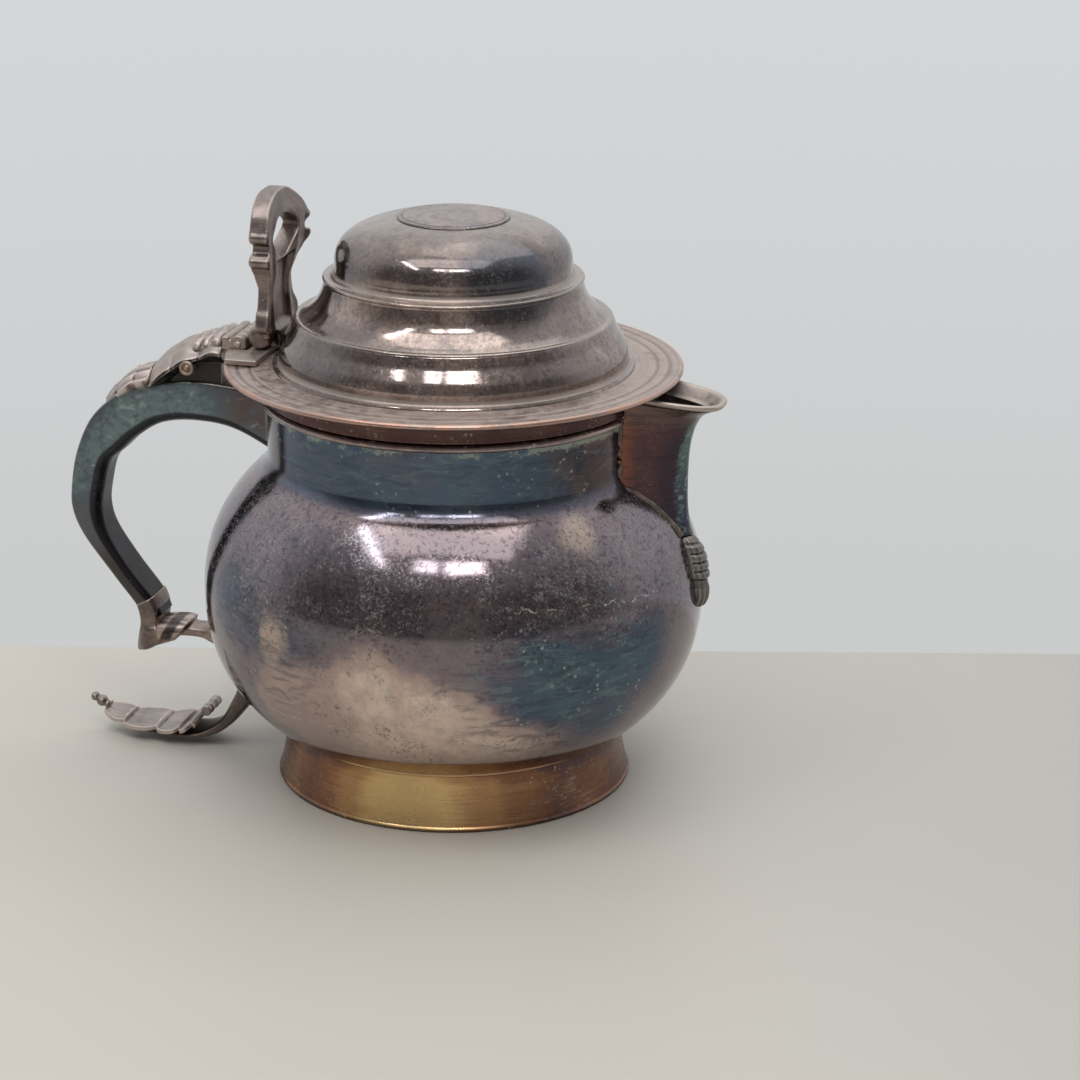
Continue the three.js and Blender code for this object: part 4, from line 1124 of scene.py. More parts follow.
def make_leaves(material, cap_material, volute_material):
    section = leaf_section([3.0, 7.2, 10.6, 11.4, 11.2], 3.4, 1.0, ribs=5, rib_depth=0.7, lobes=3,
                           lobe_depth=0.22, steps=3, step_depth=-0.5)
    tip = bar("leaf_tip", LEAF_TIP_LINE, 90, section, sharp=60)
    set_piece(tip, "jug", ["handle_leaf_tip"], material, hollows=(5, 4.0))
    section = leaf_section([10.7, 11.7, 11.9, 11.7, 11.7, 11.9, 12.0], 5.6, 1.2, ribs=6, rib_depth=0.6,
                           lobes=3, lobe_depth=0.09)
    leaf = bar("leaf_cap", LEAF_CAP_LINE, 150, section, sharp=60)
    core = bar("core", CORE_LINE, 30,
               lambda thick, share: [(0, -6.8), (0, 6.8), (thick, 6.8), (thick, -6.8)])
    rolls = []
    for out, rise, r, width in ((END_OUT + 1.6, 8.1, 1.7, 9.4), (END_OUT + 8.6, 5.7, 1.5, 8.6),
                                (END_OUT + 5.2, 6.9, 1.1, 8.8)):
        x, z = by_neck(out, -rise + r * 0.75)
        profile = both_ways([(-width - 0.6, 0.25), (-width, r * 0.7), (-width + 1.2, r), (0, r * 0.9)])
        fold = roll("fold", (x, 0, z), curve(profile, 30), 24)
        bent(fold, lambda px, py, pz: (px - 0.5 * math.cos(py * 0.7), py,
                                       pz - 0.024 * py * py + 0.25 * math.cos(py)))
        rolls.append(fold)
    whole = cast("leaf_cap", [leaf, core] + rolls, 0.32, 2)
    set_piece(whole, "jug", ["handle_leaf_cap"], cap_material, hollows=(6, 3.0))
    x, z = by_neck(26.4, 3.6)
    for side, name, node in ((-1, "volute_near", "volute_right"), (1, "volute_far", "volute_left")):
        disc = [(8.9, 0.3), (9.0, 2.3), (11.3, 2.45), (11.75, 2.2), (11.9, 1.7), (11.55, 1.4), (11.4, 1.2),
                (11.6, 0.9), (11.95, 0.6), (12.0, 0.15)]
        made = roll(name, (x, 0, z), [(p[0] * side, p[1]) for p in spline(disc, 40)], 40)
        set_piece(made, "jug", [node], volute_material, hollows=(4, 5.0))


BEAK_LINE = stations(by_belly, [
    (33.7, -9.9, 33.3, -10.8), (31.9, -3.8, 29.2, -9.4), (29.8, 1.6, 25.9, -7.6),
    (25.6, 2.1, 22.4, -6.2)
])
HORN_LINE = stations(by_belly, [
    (32.2, 7.6, 25.9, 10.6), (31.4, 4.6, 24.2, 6.4), (31.2, 1.0, 24.0, 1.6), (32.2, -3.2, 26.6, -3.2),
    (33.2, -7.0, 30.6, -7.4), (33.9, -10.2, 33.2, -10.8)
])
STRUT_LINE = stations(by_belly, [
    (26.6, 1.9, 25.6, -7.4), (20.6, 2.6, 21.8, -6.0), (14.4, 2.6, 19.4, -4.9), (13.5, 0.9, 18.2, -3.6),
    (9.0, 0.9, 10.6, -3.6), (4.0, 1.4, 4.5, -5.4), (-8.0, 1.4, -8.0, -7.0)
])


def make_strut(material, lump):
    horn_half = varying((8.0, 7.9, 7.2, 5.8, 3.6, 1.2), 101)
    strut_half = varying((7.5, 8.0, 7.4, 4.9, 4.7, 6.4, 7.5), 301)

    def horn_section(thick, share):
        return [(thick / 2 * (1 - a) - (0.5 * share * (1 - b * b) if a < 0 else 0), horn_half(share) * b)
                for a, b in oval(1, 1, 44, 0.5)]

    beak = bar("beak", BEAK_LINE, 60, ribbon((1.0, 6.2, 7.7, 7.8), 101, 40, 0.7), sharp=60)
    horn = bar("horn", HORN_LINE, 60, horn_section, sharp=60)
    beak = cast("beak", [beak, horn], 0.3, 2)
    set_piece(beak, "jug", ["handle_beak"], material, hollows=(5, 3.0))

    def strut_section(thick, share):
        ring = []
        for a, b in oval(1, 1, 48, 0.75):
            rib = 0.5 * (0.5 + 0.5 * math.cos(7 * math.pi * (b + 0.5 * share))) * eased(0.48, 0.36, share)
            ring.append((thick / 2 * (1 - a) + (rib if a > 0 else -rib), strut_half(share) * b))
        return ring

    strut = bar("strut", STRUT_LINE, 110, strut_section, sharp=60)
    cut(strut, lump, keep=True, sharp=60)
    set_piece(strut, "jug", ["handle_strut"], material, hollows=(5, 3.0))


TAIL_LINE = stations(by_root, [
    (-4, 6.0, -12, -1), (5.0, -1.0, -1.0, -7.0), (9.4, -9.6, 4.0, -12.0)
]) + stations(by_table, [
    (3.6, 9.6, -0.2, 7.8), (8.4, 5.9, 5.9, 3.6), (14.8, 4.1, 13.7, 2.4), (25.0, 3.9, 25.0, 2.4),
    (37.0, 4.6, 37.2, 3.1)
])
TAIL_LEAF_LINE = stations(by_table, [
    (10.6, 10.9, 10.2, 9.3), (13.0, 8.8, 12.2, 7.2), (16.2, 7.3, 15.8, 5.5), (20.5, 6.5, 20.5, 4.6),
    (30.0, 6.2, 30.0, 4.6), (39.5, 7.2, 40.0, 5.2), (45.0, 9.3, 46.0, 7.4)
])


def make_tail(material, leaf_material, lump):
    section = ribbon((7.0, 6.5, 6.0, 6.0, 7.0, 8.0, 7.5, 6.0), 301, 36, 0.6)
    made = bar("tail", TAIL_LINE, 130, section, sharp=60)
    cut(made, lump, keep=True, sharp=60)
    set_piece(made, "jug", ["tail_scroll"], material, hollows=(4, 3.0))
    section = leaf_section([5.4, 9.4, 11.0, 10.7, 9.8, 7.8, 4.2], 0.5, 1.2, ribs=3, rib_depth=0.16, lobes=5,
                           lobe_depth=0.22, steps=5, step_depth=1.35, low_fade=0.04)
    leaf = bar("tail_leaf_skin", TAIL_LEAF_LINE, 200, section, sharp=55)
    set_piece(leaf, "jug", ["tail_leaf"], leaf_material, hollows=(5, 3.0))
    balls = []
    for out, height, r in ((47.7, 9.8, 1.9), (50.1, 11.1, 1.5), (45.9, 8.9, 1.3)):
        x, z = by_table(out, height)
        balls.append(ball("knop", (x, 0, z), (r, r * 1.25, r)))
    tip = cast("tail_tip_knops", balls, 0.22, 2)
    set_piece(tip, "jug", ["tail_tip"], leaf_material, hollows=(4, 4.0))
    x, z = by_table(8.6, 12.0)
    profile = both_ways([(-6.0, 0.2), (-5.9, 1.2), (-5.3, 1.8), (-3.6, 1.6), (-2.4, 1.85), (0, 1.55)])
    curl = roll("tail_roll", (x, 0, z), curve(profile, 60), 36)
    set_piece(curl, "jug", ["tail_curl"], leaf_material, hollows=(4, 4.0))


# Lid

def crown_line(inset, count):
    line = []
    for t in np.linspace(0, math.pi / 2, count):
        c, s = max(math.cos(t), 0.0), math.sin(t)
        line.append(((CROWN_R - inset) * c ** (2 / CROWN_POWER),
                     CROWN_Z + (CROWN_HEIGHT - inset) * s ** (2 / CROWN_POWER)))
    return line


def crown_height(r):
    return CROWN_Z + CROWN_HEIGHT * (1 - (r / CROWN_R) ** CROWN_POWER) ** (1 / CROWN_POWER)


def make_lid(material, disc_material, brim_material):
    inner = NECK_R - 5.1
    brim = [(inner, BRIM_Z), (BRIM_R - 1.6, BRIM_Z), (BRIM_R - 0.7, BRIM_Z + 0.05),
            (BRIM_R - 0.1, BRIM_Z + 0.5), (BRIM_R, BRIM_Z + 1.05), (BRIM_R - 0.35, BRIM_TOP - 0.25),
            (BRIM_R - 0.9, BRIM_TOP), (BRIM_R - 1.5, BRIM_TOP - 0.12), (BRIM_R - 1.9, BRIM_TOP - 0.3)]
    for r in np.arange(BRIM_R - 2.6, inner + 4, -0.42):
        ring = 0.05 * (0.5 + 0.5 * math.sin(r * 9.0)) * eased(BRIM_R - 2.4, BRIM_R - 3.4, r)
        groove = sum(0.3 * math.exp(-((BRIM_R - r - place) / 0.5) ** 2) for place in (4.4, 8.2))
        brim.append((r, BRIM_TOP - 0.26 + ring - groove))
    brim.append((inner, BRIM_TOP - 0.2))
    made = turned("brim", softened(brim, 0.3, closed=True, least=30), sides=288)
    set_piece(made, "lid", ["lid_brim"], brim_material)

    def up(points):
        return [(r, PLATE_Z + h) for r, h in points]

    outside = [(57.7, -0.45), (57.6, -0.2)]
    outside += curve([(57.4, 0.1), (56.3, 0.35), (55.75, 0.95), (55.55, 2.0)], 12)
    outside += curve([(55.55, 2.3), (55.4, 4.4), (54.75, 6.6), (53.4, 8.9), (52.2, 10.8), (51.45, 12.6),
                      (50.8, 14.2)], 40)
    outside += curve([(50.65, 14.35), (50.5, 14.85), (49.9, 15.15), (49.2, 15.1)], 12)
    outside += curve([(48.9, 15.1), (47.5, 15.95), (45.6, 17.7), (43.9, 19.6), (42.7, 21.5), (41.9, 23.4),
                      (41.4, 25.2), (41.2, 26.5), (41.3, 27.0)], 44)
    outside += curve([(41.45, 27.2), (41.5, 27.6), (41.05, 27.98), (40.3, 28.0)], 12)
    outside += curve([(40.1, 28.0), (39.0, 28.3), (38.2, 28.9), (37.85, 30.0), (37.75, 31.3)], 18)
    line = up(outside) + crown_line(0, 60)
    inside = up([(54.3, -0.45), (54.2, 0), (51.7, 9), (47.7, 13.7), (40.3, 21.5), (39.7, 26.8),
                 (36.5, 29.0)])
    whole = line + crown_line(1.2, 40)[::-1] + inside[::-1]
    made = turned("dome", whole, sides=288, waver=0.14, waver_size=26.0, sharp=40.0)
    set_piece(made, "lid", ["lid_dome"], material)

    disc = [(0, crown_height(0) + 0.1)] + [(r, crown_height(r) + 0.1) for r in np.linspace(2, 17.4, 14)]
    top = [(17.9, crown_height(17.9) + 0.12), (17.8, crown_height(17.8) + 0.3),
           (17.4, crown_height(17.4) + 0.48)]
    top += [(r, crown_height(r) + h) for r, h in ((16.9, 0.52), (16.5, 0.38), (16.2, 0.38), (15.8, 0.55))]
    top += [(r, crown_height(r) + 0.6 + 0.3 * eased(12.0, 0.0, r)) for r in np.linspace(15.2, 0, 14)]
    made = turned("top_disc", disc + top, sides=192, sharp=40.0)
    set_piece(made, "lid", ["lid_top_disc"], disc_material)

    outer = NECK_R - WALL - 1.1
    high, low = BRIM_Z + 0.1, BRIM_Z - 5.7
    bezel = [(outer - 1.0, high), (outer, high), (outer, low + 1.2), (outer + 0.15, low + 0.7),
             (outer - 0.25, low), (outer - 0.8, low), (outer - 1.0, low + 0.4)]
    made = turned("bezel", softened(bezel, 0.3, closed=True), sides=192)
    set_piece(made, "lid", ["lid_bezel"], material)


# Hinge

def knuckle_span(k):
    width = 2 * HINGE_HALF / 5
    return -HINGE_HALF + k * width + 0.12, -HINGE_HALF + (k + 1) * width - 0.12


def knuckle(k):
    low, high = knuckle_span(k)
    r = KNUCKLE_R - 0.02
    line = [(low, r - 0.9), (low + 0.02, r - 0.35), (low + 0.35, r)]
    line += [(y, r) for y in np.linspace(low + 0.6, high - 0.6, 7)]
    line += [(high - 0.35, r), (high - 0.02, r - 0.35), (high, r - 0.9)]
    return roll("knuckle", (HINGE_X, 0, HINGE_Z), line, 40)


def plank(name, outline, low, high):
    """A flat plate between two heights whose edges are broken; the outline is (x, y)"""
    edge = 0.35
    outline = np.asarray(outline, float)
    middle = np.mean(outline, axis=0)
    rings = []
    for z, inset in ((low, edge), (low + edge, 0.0), (high - edge, 0.0), (high - edge * 0.3, edge * 0.4),
                     (high, edge)):
        ring = []
        for p in outline:
            away = middle - p
            ring.append((*(p + away / np.linalg.norm(away) * inset), z))
        rings.append(ring)
    return loft(name, rings, sharp=60)


BORE_R = 1.07


def bored(made):
    """Takes the pin's bore out of knuckles"""
    bore = roll("bore", (HINGE_X, 0, HINGE_Z), [(-14, BORE_R), (14, BORE_R)], 32)
    cut(made, bore)


def make_hinge(plate_material, pin_material):
    back = HINGE_X - 5.5
    low, high = HINGE_Z - 2.1, HINGE_Z + 2.1
    near_knuckles = HINGE_X - 3.3
    bridge = [(back, -10.9), (near_knuckles, -10.9), (near_knuckles, 10.9), (back, 10.9)]
    parts = [plank("bridge", softened(bridge, 0.6, closed=True), low, high)]
    for k in (0, 2, 4):
        y0, y1 = knuckle_span(k)
        arm = [(back + 0.5, y0), (HINGE_X, y0), (HINGE_X, y1), (back + 0.5, y1)]
        parts += [plank("arm", softened(arm, 0.3, closed=True), low, HINGE_Z + 0.9), knuckle(k)]
    fold = both_ways([(-10.9, 0.3), (-10.6, 1.05), (-9.4, 1.4), (0, 1.3)])
    parts.append(roll("bridge_fold", (HINGE_X - 4.1, 0, HINGE_Z + 0.9), curve(fold, 40), 28))
    fixed = cast("hinge_knuckles", parts, 0.2, 1)
    bored(fixed)
    set_piece(fixed, "jug", ["hinge_bracket"], plate_material, hollows=(4, 3.0))

    profile = both_ways([(-11.5, 0.3), (-11.45, 0.75), (-11.2, 0.98), (-11.0, 1.0)])
    pin = roll("hinge_wire", (HINGE_X, 0, HINGE_Z), profile, 32)
    set_piece(pin, "jug", ["hinge_pin"], pin_material)

    edge, notch, straight, half = BRIM_R - 0.6, 11.4, -58.2, 24.0
    reach = math.asin(half / edge)
    outline = [(edge * math.cos(a), edge * math.sin(a))
               for a in np.linspace(math.pi - reach, math.pi + reach, 40)]
    outline = [(straight, half)] + outline + [(straight, -half)]
    front = HINGE_X + 3.3
    cleared = [p for p in outline if p[0] > front or abs(p[1]) > notch]
    corner = edge * math.cos(math.asin(notch / edge))
    line = [p for p in cleared if p[1] > 0] + [(-corner, notch), (front, notch), (front, -notch),
                                               (-corner, -notch)] + [p for p in cleared if p[1] <= 0]
    parts = [extruded("plate", [(x, y, PLATE_Z - 0.2) for x, y in line],
                      lambda co: setattr(co, "z", PLATE_TOP * MM))]
    for k in (1, 3):
        y0, y1 = knuckle_span(k)
        web = [(HINGE_X, y0), (front + 1.2, y0), (front + 1.2, y1), (HINGE_X, y1)]
        parts += [plank("web", web, PLATE_Z, PLATE_TOP + 0.9), knuckle(k)]
    moving = cast("hinge_plate", parts, 0.24, 1)
    bored(moving)
    set_piece(moving, "lid", ["lid_hinge_plate"], plate_material, hollows=(4, 3.0))


# Thumbpiece: two scrolled arms that meet in an arch, on a rolled foot

LYRE_X, LYRE_HIGH = -58.9, 50.6
LYRE_SIDE = [(4.2, 0), (4.6, 3.2), (6.4, 5.6), (10.6, 6.0), (14.2, 6.4), (15.6, 9.0), (15.0, 11.8),
             (13.6, 14.6), (12.6, 20.0), (13.2, 24.4), (14.6, 26.8), (15.8, 29.2), (15.4, 31.6),
             (13.8, 32.4), (13.6, 34.8), (15.4, 35.8), (15.8, 38.2), (15.0, 40.6), (13.4, 44.4),
             (10.2, 47.9), (5.6, 50.1), (0, LYRE_HIGH)]
LYRE_EYE = [(0, 42.4), (4.6, 41.4), (8.4, 37.8), (9.2, 34.6), (6.4, 31.4), (2.4, 29.0), (0, 28.6)]


def make_thumbpiece(material):
    low = PLATE_TOP + 0.05

    def mirrored(side):
        return side + [(-y, z) for y, z in reversed(side)][1:]

    side = curve(LYRE_SIDE, 120)
    outline = mirrored(side)
    eye = mirrored(curve(LYRE_EYE, 60))[:-1]

    def slab(name, ring, half):
        return extruded(name, [(-half, y, low + h) for y, h in ring],
                        lambda co: setattr(co, "x", co.x + 2 * half * MM))

    plate = slab("lyre", outline, 3.5)
    cut(plate, slab("eye", eye, 6.0))
    parts = [plate]
    for y, h, r, across in ((15.0, 29.6, 1.8, 3.9), (14.6, 37.4, 1.9, 3.7), (14.4, 8.6, 1.6, 3.4)):
        for sign in (-1, 1):
            rings = []
            for x, size in ((-across, 0.35), (-across + 0.25, 0.75), (-across + 0.9, 1.0), (0, 0.93),
                            (across - 0.9, 1.0), (across - 0.25, 0.75), (across, 0.35)):
                rings.append([(x, sign * y + a, low + h + b) for a, b in oval(r * size, r * size, 24)])
            parts.append(loft("scroll", rings))
    made = cast("lyre", parts, 0.3, 5)

    def shaped(x, y, z):
        h = z - low
        depth = 0.92 - 0.30 * eased(24.5, 20.0, h) + 0.18 * eased(9.0, 5.0, h) - 0.06 * eased(36.0, 46.0, h)
        depth *= 1.0 - 0.72 * eased(8.4, 6.6, abs(y)) * eased(29.0, 26.5, h) * eased(5.0, 8.0, h)
        band = abs(math.hypot(y, h - 37.0) - 11.2) / 3.0 if h > 36 else abs(abs(y) - 11.6) / 2.6
        groove = 0.55 * max(0.0, 1 - band * band) if abs(x) > 1.8 else 0.0
        x = math.copysign(max(abs(x) - groove, 0.0), x) * depth
        far = eased(2.0, 13.0, y) * eased(51.0, 38.0, h)
        horn = eased(12.5, 16.0, y) * eased(27.0, 31.0, h) * eased(39.0, 35.5, h)
        pushed = (2.6 * eased(21.0, 31.0, h) + 0.5 * eased(30.0, 36.0, h)) * far + 1.1 * horn
        waist = 2.2 * eased(5.0, 12.0, y) * eased(9.0, 15.0, h) * eased(30.0, 24.0, h)
        return (LYRE_X - 0.6 * (h / LYRE_HIGH) ** 2 + x + pushed, y - waist,
                z + 2.4 * far * eased(18.0, 29.0, h) + 0.8 * horn)

    bent(made, shaped)
    foot = []
    z = low + 4.0
    profile = both_ways([(-12.0, 0.4), (-11.9, 1.8), (-11.4, 3.1), (-10.3, 3.8), (-8.6, 3.95),
                         (-7.8, 3.5), (-7.0, 3.9), (-3.0, 4.0), (0, 3.8)])
    foot.append(roll("foot_roll", (-61.35, 0, z), curve(profile, 90), 48))
    foot.append(roll("foot_web", (LYRE_X, 0, low + 1.6), both_ways([(-7.0, 0.4), (-6.6, 1.7)]), 24))
    for sign in (-1, 1):
        foot.append(ball("curl", (-58.6, sign * 11.0, low + 5.6), (1.9, 2.0, 2.0)))
    whole = cast("thumb_lyre", [made] + foot, 0.3, 2)
    set_piece(whole, "lid", ["thumbpiece"], material, hollows=(6, 3.5))


# Finishes

# Tarnish on silver, from a thin film to a thick one
FILM = [(0.0, (0.74, 0.60, 0.51)), (0.16, (0.45, 0.345, 0.31)), (0.36, (0.225, 0.185, 0.20)),
        (0.52, (0.135, 0.13, 0.165)), (0.66, (0.085, 0.12, 0.165)), (0.82, (0.105, 0.17, 0.195)),
        (1.0, (0.25, 0.32, 0.30))]
LID_FILM = [(0.0, (0.74, 0.61, 0.53)), (0.16, (0.47, 0.375, 0.33)), (0.36, (0.235, 0.195, 0.185)),
            (0.52, (0.135, 0.125, 0.135)), (0.66, (0.08, 0.105, 0.13)), (0.82, (0.10, 0.15, 0.17)),
            (1.0, (0.22, 0.27, 0.26))]
BRASS = [(0.0, (0.68, 0.47, 0.22)), (0.3, (0.44, 0.25, 0.12)), (0.58, (0.23, 0.115, 0.07)),
         (0.82, (0.115, 0.07, 0.07)), (1.0, (0.06, 0.045, 0.05))]
DUST = (0.46, 0.42, 0.38)


def toward(start, target, share):
    return start + (target - start) * share


# Long scratches on the belly's near side, as points in millimetres from the jug's axis
SCRATCHES = [
    [(38, -68, 80.5), (47, -63.5, 79.6), (60.3, -50.6, 79.2), (67.6, -41.3, 77.6), (73.7, -29.9, 77.0)],
    [(-39, -64, 38.5), (-26.6, -70.5, 39), (-16, -74, 39.2), (-9.3, -74.5, 37.6)],
    [(-16, -74, 39.2), (-8, -76, 43.6), (-1, -77.5, 44)],
    [(-10, -80, 66.5), (-3, -80.6, 59.5), (3, -79.9, 52)],
    [(6, -80, 60.5), (-3, -79.5, 51)],
]


def belly_finish():
    made = Finish("tarnished belly")
    film = made.mottled(made.noise(80.0, 12.0, 2.0, 0.5) * 0.2 + 0.29, 0.34, 0.2, 42.0)
    places = [
        ((-30, -74, 66), 20, 10, (1, 1, 1.7), 0.58), ((-52, -60, 72), 16, 8, (1, 1, 1.2), 0.58),
        ((46, -64, 57), 25, 9, (1, 1, 1.5), 0.72), ((66, -46, 60), 20, 8, (1, 1, 1.4), 0.70),
        ((34, -72, 62), 10, 6, (1, 1, 1.6), 0.6), ((60, -46, 42), 12, 7, (1, 1, 1.4), 0.62),
        ((2, -78, 46), 32, 16, (1, 1, 1.4), 0.06), ((16, -66, 30), 34, 14, (1, 1, 1.9), 0.07),
        ((-30, -70, 44), 20, 9, (1, 1, 1.3), 0.17), ((-26, -66, 88), 26, 9, (1, 1, 1.2), 0.42),
        ((58, -48, 88), 24, 9, (1, 1, 1.2), 0.38), ((22, -76, 74), 20, 8, (1, 1, 1.3), 0.40),
    ]
    for centre, radius, soft, stretch, target in places:
        film = toward(film, target + made.swing(0.3, 6.0, centre[2], 5.0, 0.7),
                      made.patch(centre, radius, soft, stretch, ragged=radius * 0.8,
                                 ragged_size=radius * 0.5))
    neck = made.band(made.z, SHOULDER_Z - 1.5, SHOULDER_Z + 4.5)
    brushed = made.streaks(0.035, 0.9)
    on_neck = brushed * 0.24 + made.swing(0.34, 24.0, 4.0) + 0.52
    shoulder = made.band(made.z, SHOULDER_Z - 6, SHOULDER_Z - 1) \
        * made.band(made.z, SHOULDER_Z + 5, SHOULDER_Z + 1)
    film = toward(film, 0.24, shoulder * made.blotches(0.3, 0.6, 20.0, 8.0) * 0.8)
    film = toward(film, on_neck, neck)
    film = toward(film, 0.10, made.band(made.z, EDGE_Z + 12, EDGE_Z + 2) * 0.75)
    made.ramp(film, FILM)
    copper = made.most(made.patch((52, -26, 120), 17, 8, ragged=10.0),
                       made.patch((-50, -34, 112), 9, 6, ragged=8.0))
    made.coat(copper * neck * 0.8, made.mix(made.blotches(0.4, 0.7, 9.0, rough=0.5), (0.13, 0.075, 0.06),
                                            (0.06, 0.045, 0.05)))
    beige = made.most(made.patch((-38, -70, 65), 5.5, 2.8, (1, 1, 0.8), ragged=6.0, ragged_size=3.0),
                      made.patch((51, -44, 98), 6.0, 3.2, ragged=7.0, ragged_size=3.0))
    made.coat(beige * 0.85, (0.53, 0.42, 0.35))
    lower = made.z + made.swing(44.0, 17.0, 66.0, 4.0, 0.65)
    field = made.band(lower, 58.0, 76.0) * (0.62 + made.blotches(0.35, 0.6, 26.0, 6.0) * 0.38)
    field = made.most(field, made.blotches(0.5, 0.68, 24.0, 26.0, 4.0, 0.65) * 0.5)
    field = field * (1.0 - neck * 0.92) * (1.0 - made.patch((17, -76, 70), 14, 10, ragged=8.0) * 0.55)
    crust = made.crusted(field)
    wisps = made.streaks(0.11, 0.42, 14.0, 4.0, 0.65, 0.9)
    low_right = made.patch((52, -60, 56), 38, 12, (1, 1, 1.3), ragged=18.0)
    low_left = made.patch((-44, -64, 62), 26, 10, (1, 1, 1.2), ragged=14.0)
    blue = made.most(low_right, low_left)
    streak = made.band(wisps, 0.53, 0.66) * made.most(blue * 0.9, neck * 0.55)
    dull = made.band(made.streaks(0.09, 0.36, 74.0, 4.0, 0.65, 0.9), 0.5, 0.62) \
        * made.most(blue, neck * 0.8)
    marks = made.scratches(0.16, 0.9, 0.07, 45.0, 26.0) * 0.22
    for k, line in enumerate(SCRATCHES):
        marks = made.most(marks, made.stroke(line, 0.45, shift=k * 7.0))
    verdigris = made.specks(2.4, 0.3, 29.0, 13.0) * made.most(blue, neck)
    ragged = made.z + made.swing(5.0, 2.6, 51.0, 4.0, 0.7)
    right_side = made.band(made.x, 10.0, 50.0) * 0.16
    under_bead = made.band(ragged, RIM_Z - 12.6, RIM_Z - 11.4) \
        * made.band(made.noise(6.0, 9.0, 4.0, 0.65) + right_side, 0.5, 0.6)
    green = made.most(verdigris * 0.8, under_bead)
    made.coat(dull * 0.45, (0.055, 0.06, 0.075))
    made.coat(streak * 0.5, (0.19, 0.265, 0.275))
    made.coat(marks * 0.7, (0.60, 0.56, 0.52))
    made.coat(green * 0.75, (0.40, 0.47, 0.40))
    made.coat(made.blotches(0.58, 0.78, 11.0, 61.0, 5.0, 0.7) * 0.28, (0.06, 0.055, 0.058))
    rough = made.noise(16.0, 90.0, 4.0) * 0.08 + crust * 0.2 + marks * 0.2 + green * 0.3 + neck * 0.05 \
        + 0.07
    bump = made.noise(15.0, 7.0, 2.0, 0.5) + made.noise(1.1, 19.0) * 0.09 + crust * 0.07 - marks * 0.12 \
        + green * 0.6
    metal = 1.0 - made.most(made.most(crust * 0.6, marks * 0.6), green * 0.7)
    return made.finish(rough, metal, bump, 0.08)


def lid_finish():
    made = Finish("tarnished lid")
    crown = made.band(made.z, CROWN_Z - 1.0, CROWN_Z + 2.0)
    film = made.mottled(made.noise(60.0, 5.0, 2.0, 0.5) * 0.2 + 0.17, 0.36, 0.3, 26.0, 3.0)
    film = film + crown * made.band(made.up, 0.95, 0.6) * 0.13
    for target, centre, radius, soft, ragged, share in (
            (0.62, (27, -27, 174), 15, 7, 9.0, 0.85), (0.52, (-30, -25, 172), 8, 5, 8.0, 0.6),
            (0.50, (-30, -46, 147), 14, 7, 9.0, 0.7), (0.44, (44, -30, 146), 13, 7, 9.0, 0.6)):
        film = toward(film, target, made.patch(centre, radius, soft, ragged=ragged) * share)
    made.ramp(film, LID_FILM)
    field = made.blotches(0.36, 0.62, 22.0, 6.0, 4.0, 0.65) * 0.5 + 0.35
    dust = made.dust(0.62, 0.96, 0.45, 2.2)
    edges = made.most(made.from_zero(made.z - (PLATE_Z + 14.9), 0.8, 0.1),
                      made.from_zero(made.z - (PLATE_Z + 27.9), 0.9, 0.1))
    creases = made.most(made.from_zero(made.z - (PLATE_Z + 29.3), 0.9, 0.2),
                        made.from_zero(made.z - (PLATE_Z + 1.2), 1.2, 0.3))
    crust = made.crusted(field, (0.34, 0.305, 0.29), 9.0, 0.6)
    made.coat(dust, (0.25, 0.22, 0.195))
    made.coat(made.band(made.up, 0.9, 0.99) * made.blotches(0.2, 0.7, 6.0, 8.0) * 0.55, (0.40, 0.365, 0.34))
    made.coat(edges * 0.5, (0.42, 0.365, 0.315))
    made.coat(creases * 0.75, (0.40, 0.345, 0.295))
    rough = made.noise(9.0, 33.0, 4.0) * 0.08 + crust * 0.12 + dust * 0.4 + creases * 0.25 + 0.07
    bump = made.noise(11.0, 17.0, 2.0, 0.5) + made.noise(0.9, 1.0) * 0.08 + crust * 0.05
    return made.finish(rough, 1.0 - made.most(made.most(dust * 0.8, creases * 0.6), crust * 0.55), bump,
                       0.08)


def brim_finish():
    made = Finish("dusty brim")
    film = made.mottled(made.noise(40.0, 2.0, 2.0, 0.5) * 0.1 + 0.1, 0.2, 0.16, 22.0, 14.0)
    made.ramp(film, FILM)
    dust = made.dust(0.7, 0.98, 0.8, 4.0)
    radius = made.from_axis()
    rings = made.blotches(0.4, 0.65, 1.0, place=made.point(radius, 0.0, 0.0))
    made.coat(dust, (0.44, 0.39, 0.345))
    made.coat(rings * 0.28, (0.24, 0.20, 0.185))
    lip = made.band(radius, BRIM_R - 1.5, BRIM_R - 0.5)
    made.coat(lip * made.blotches(0.3, 0.7, 9.0, 6.0) * 0.8, (0.58, 0.33, 0.235))
    grooves = made.most(made.from_zero(radius - (BRIM_R - 4.4), 0.75, 0.2),
                        made.from_zero(radius - (BRIM_R - 8.2), 0.75, 0.2))
    made.coat(grooves * 0.45, (0.13, 0.10, 0.09))
    made.coat(made.blotches(0.52, 0.68, 12.0, 33.0, 4.0, 0.65) * 0.45, (0.15, 0.115, 0.105))
    # painted shade: faces that look down, under the brim, are darkened
    made.coat(made.band(made.up, -0.3, -0.8) * 0.6, (0.10, 0.085, 0.085))
    crust = made.specks(1.2, 0.34, 12.0, 10.0)
    made.coat(crust * 0.5, (0.6, 0.56, 0.52))
    rough = dust * 0.3 + rings * 0.08 + made.noise(6.0) * 0.12 + 0.24
    bump = made.noise(7.0, 3.0, 2.0, 0.5) + made.noise(0.8) * 0.2 + rings * 0.2
    return made.finish(rough, 1.0 - dust * 0.6, bump, 0.07)


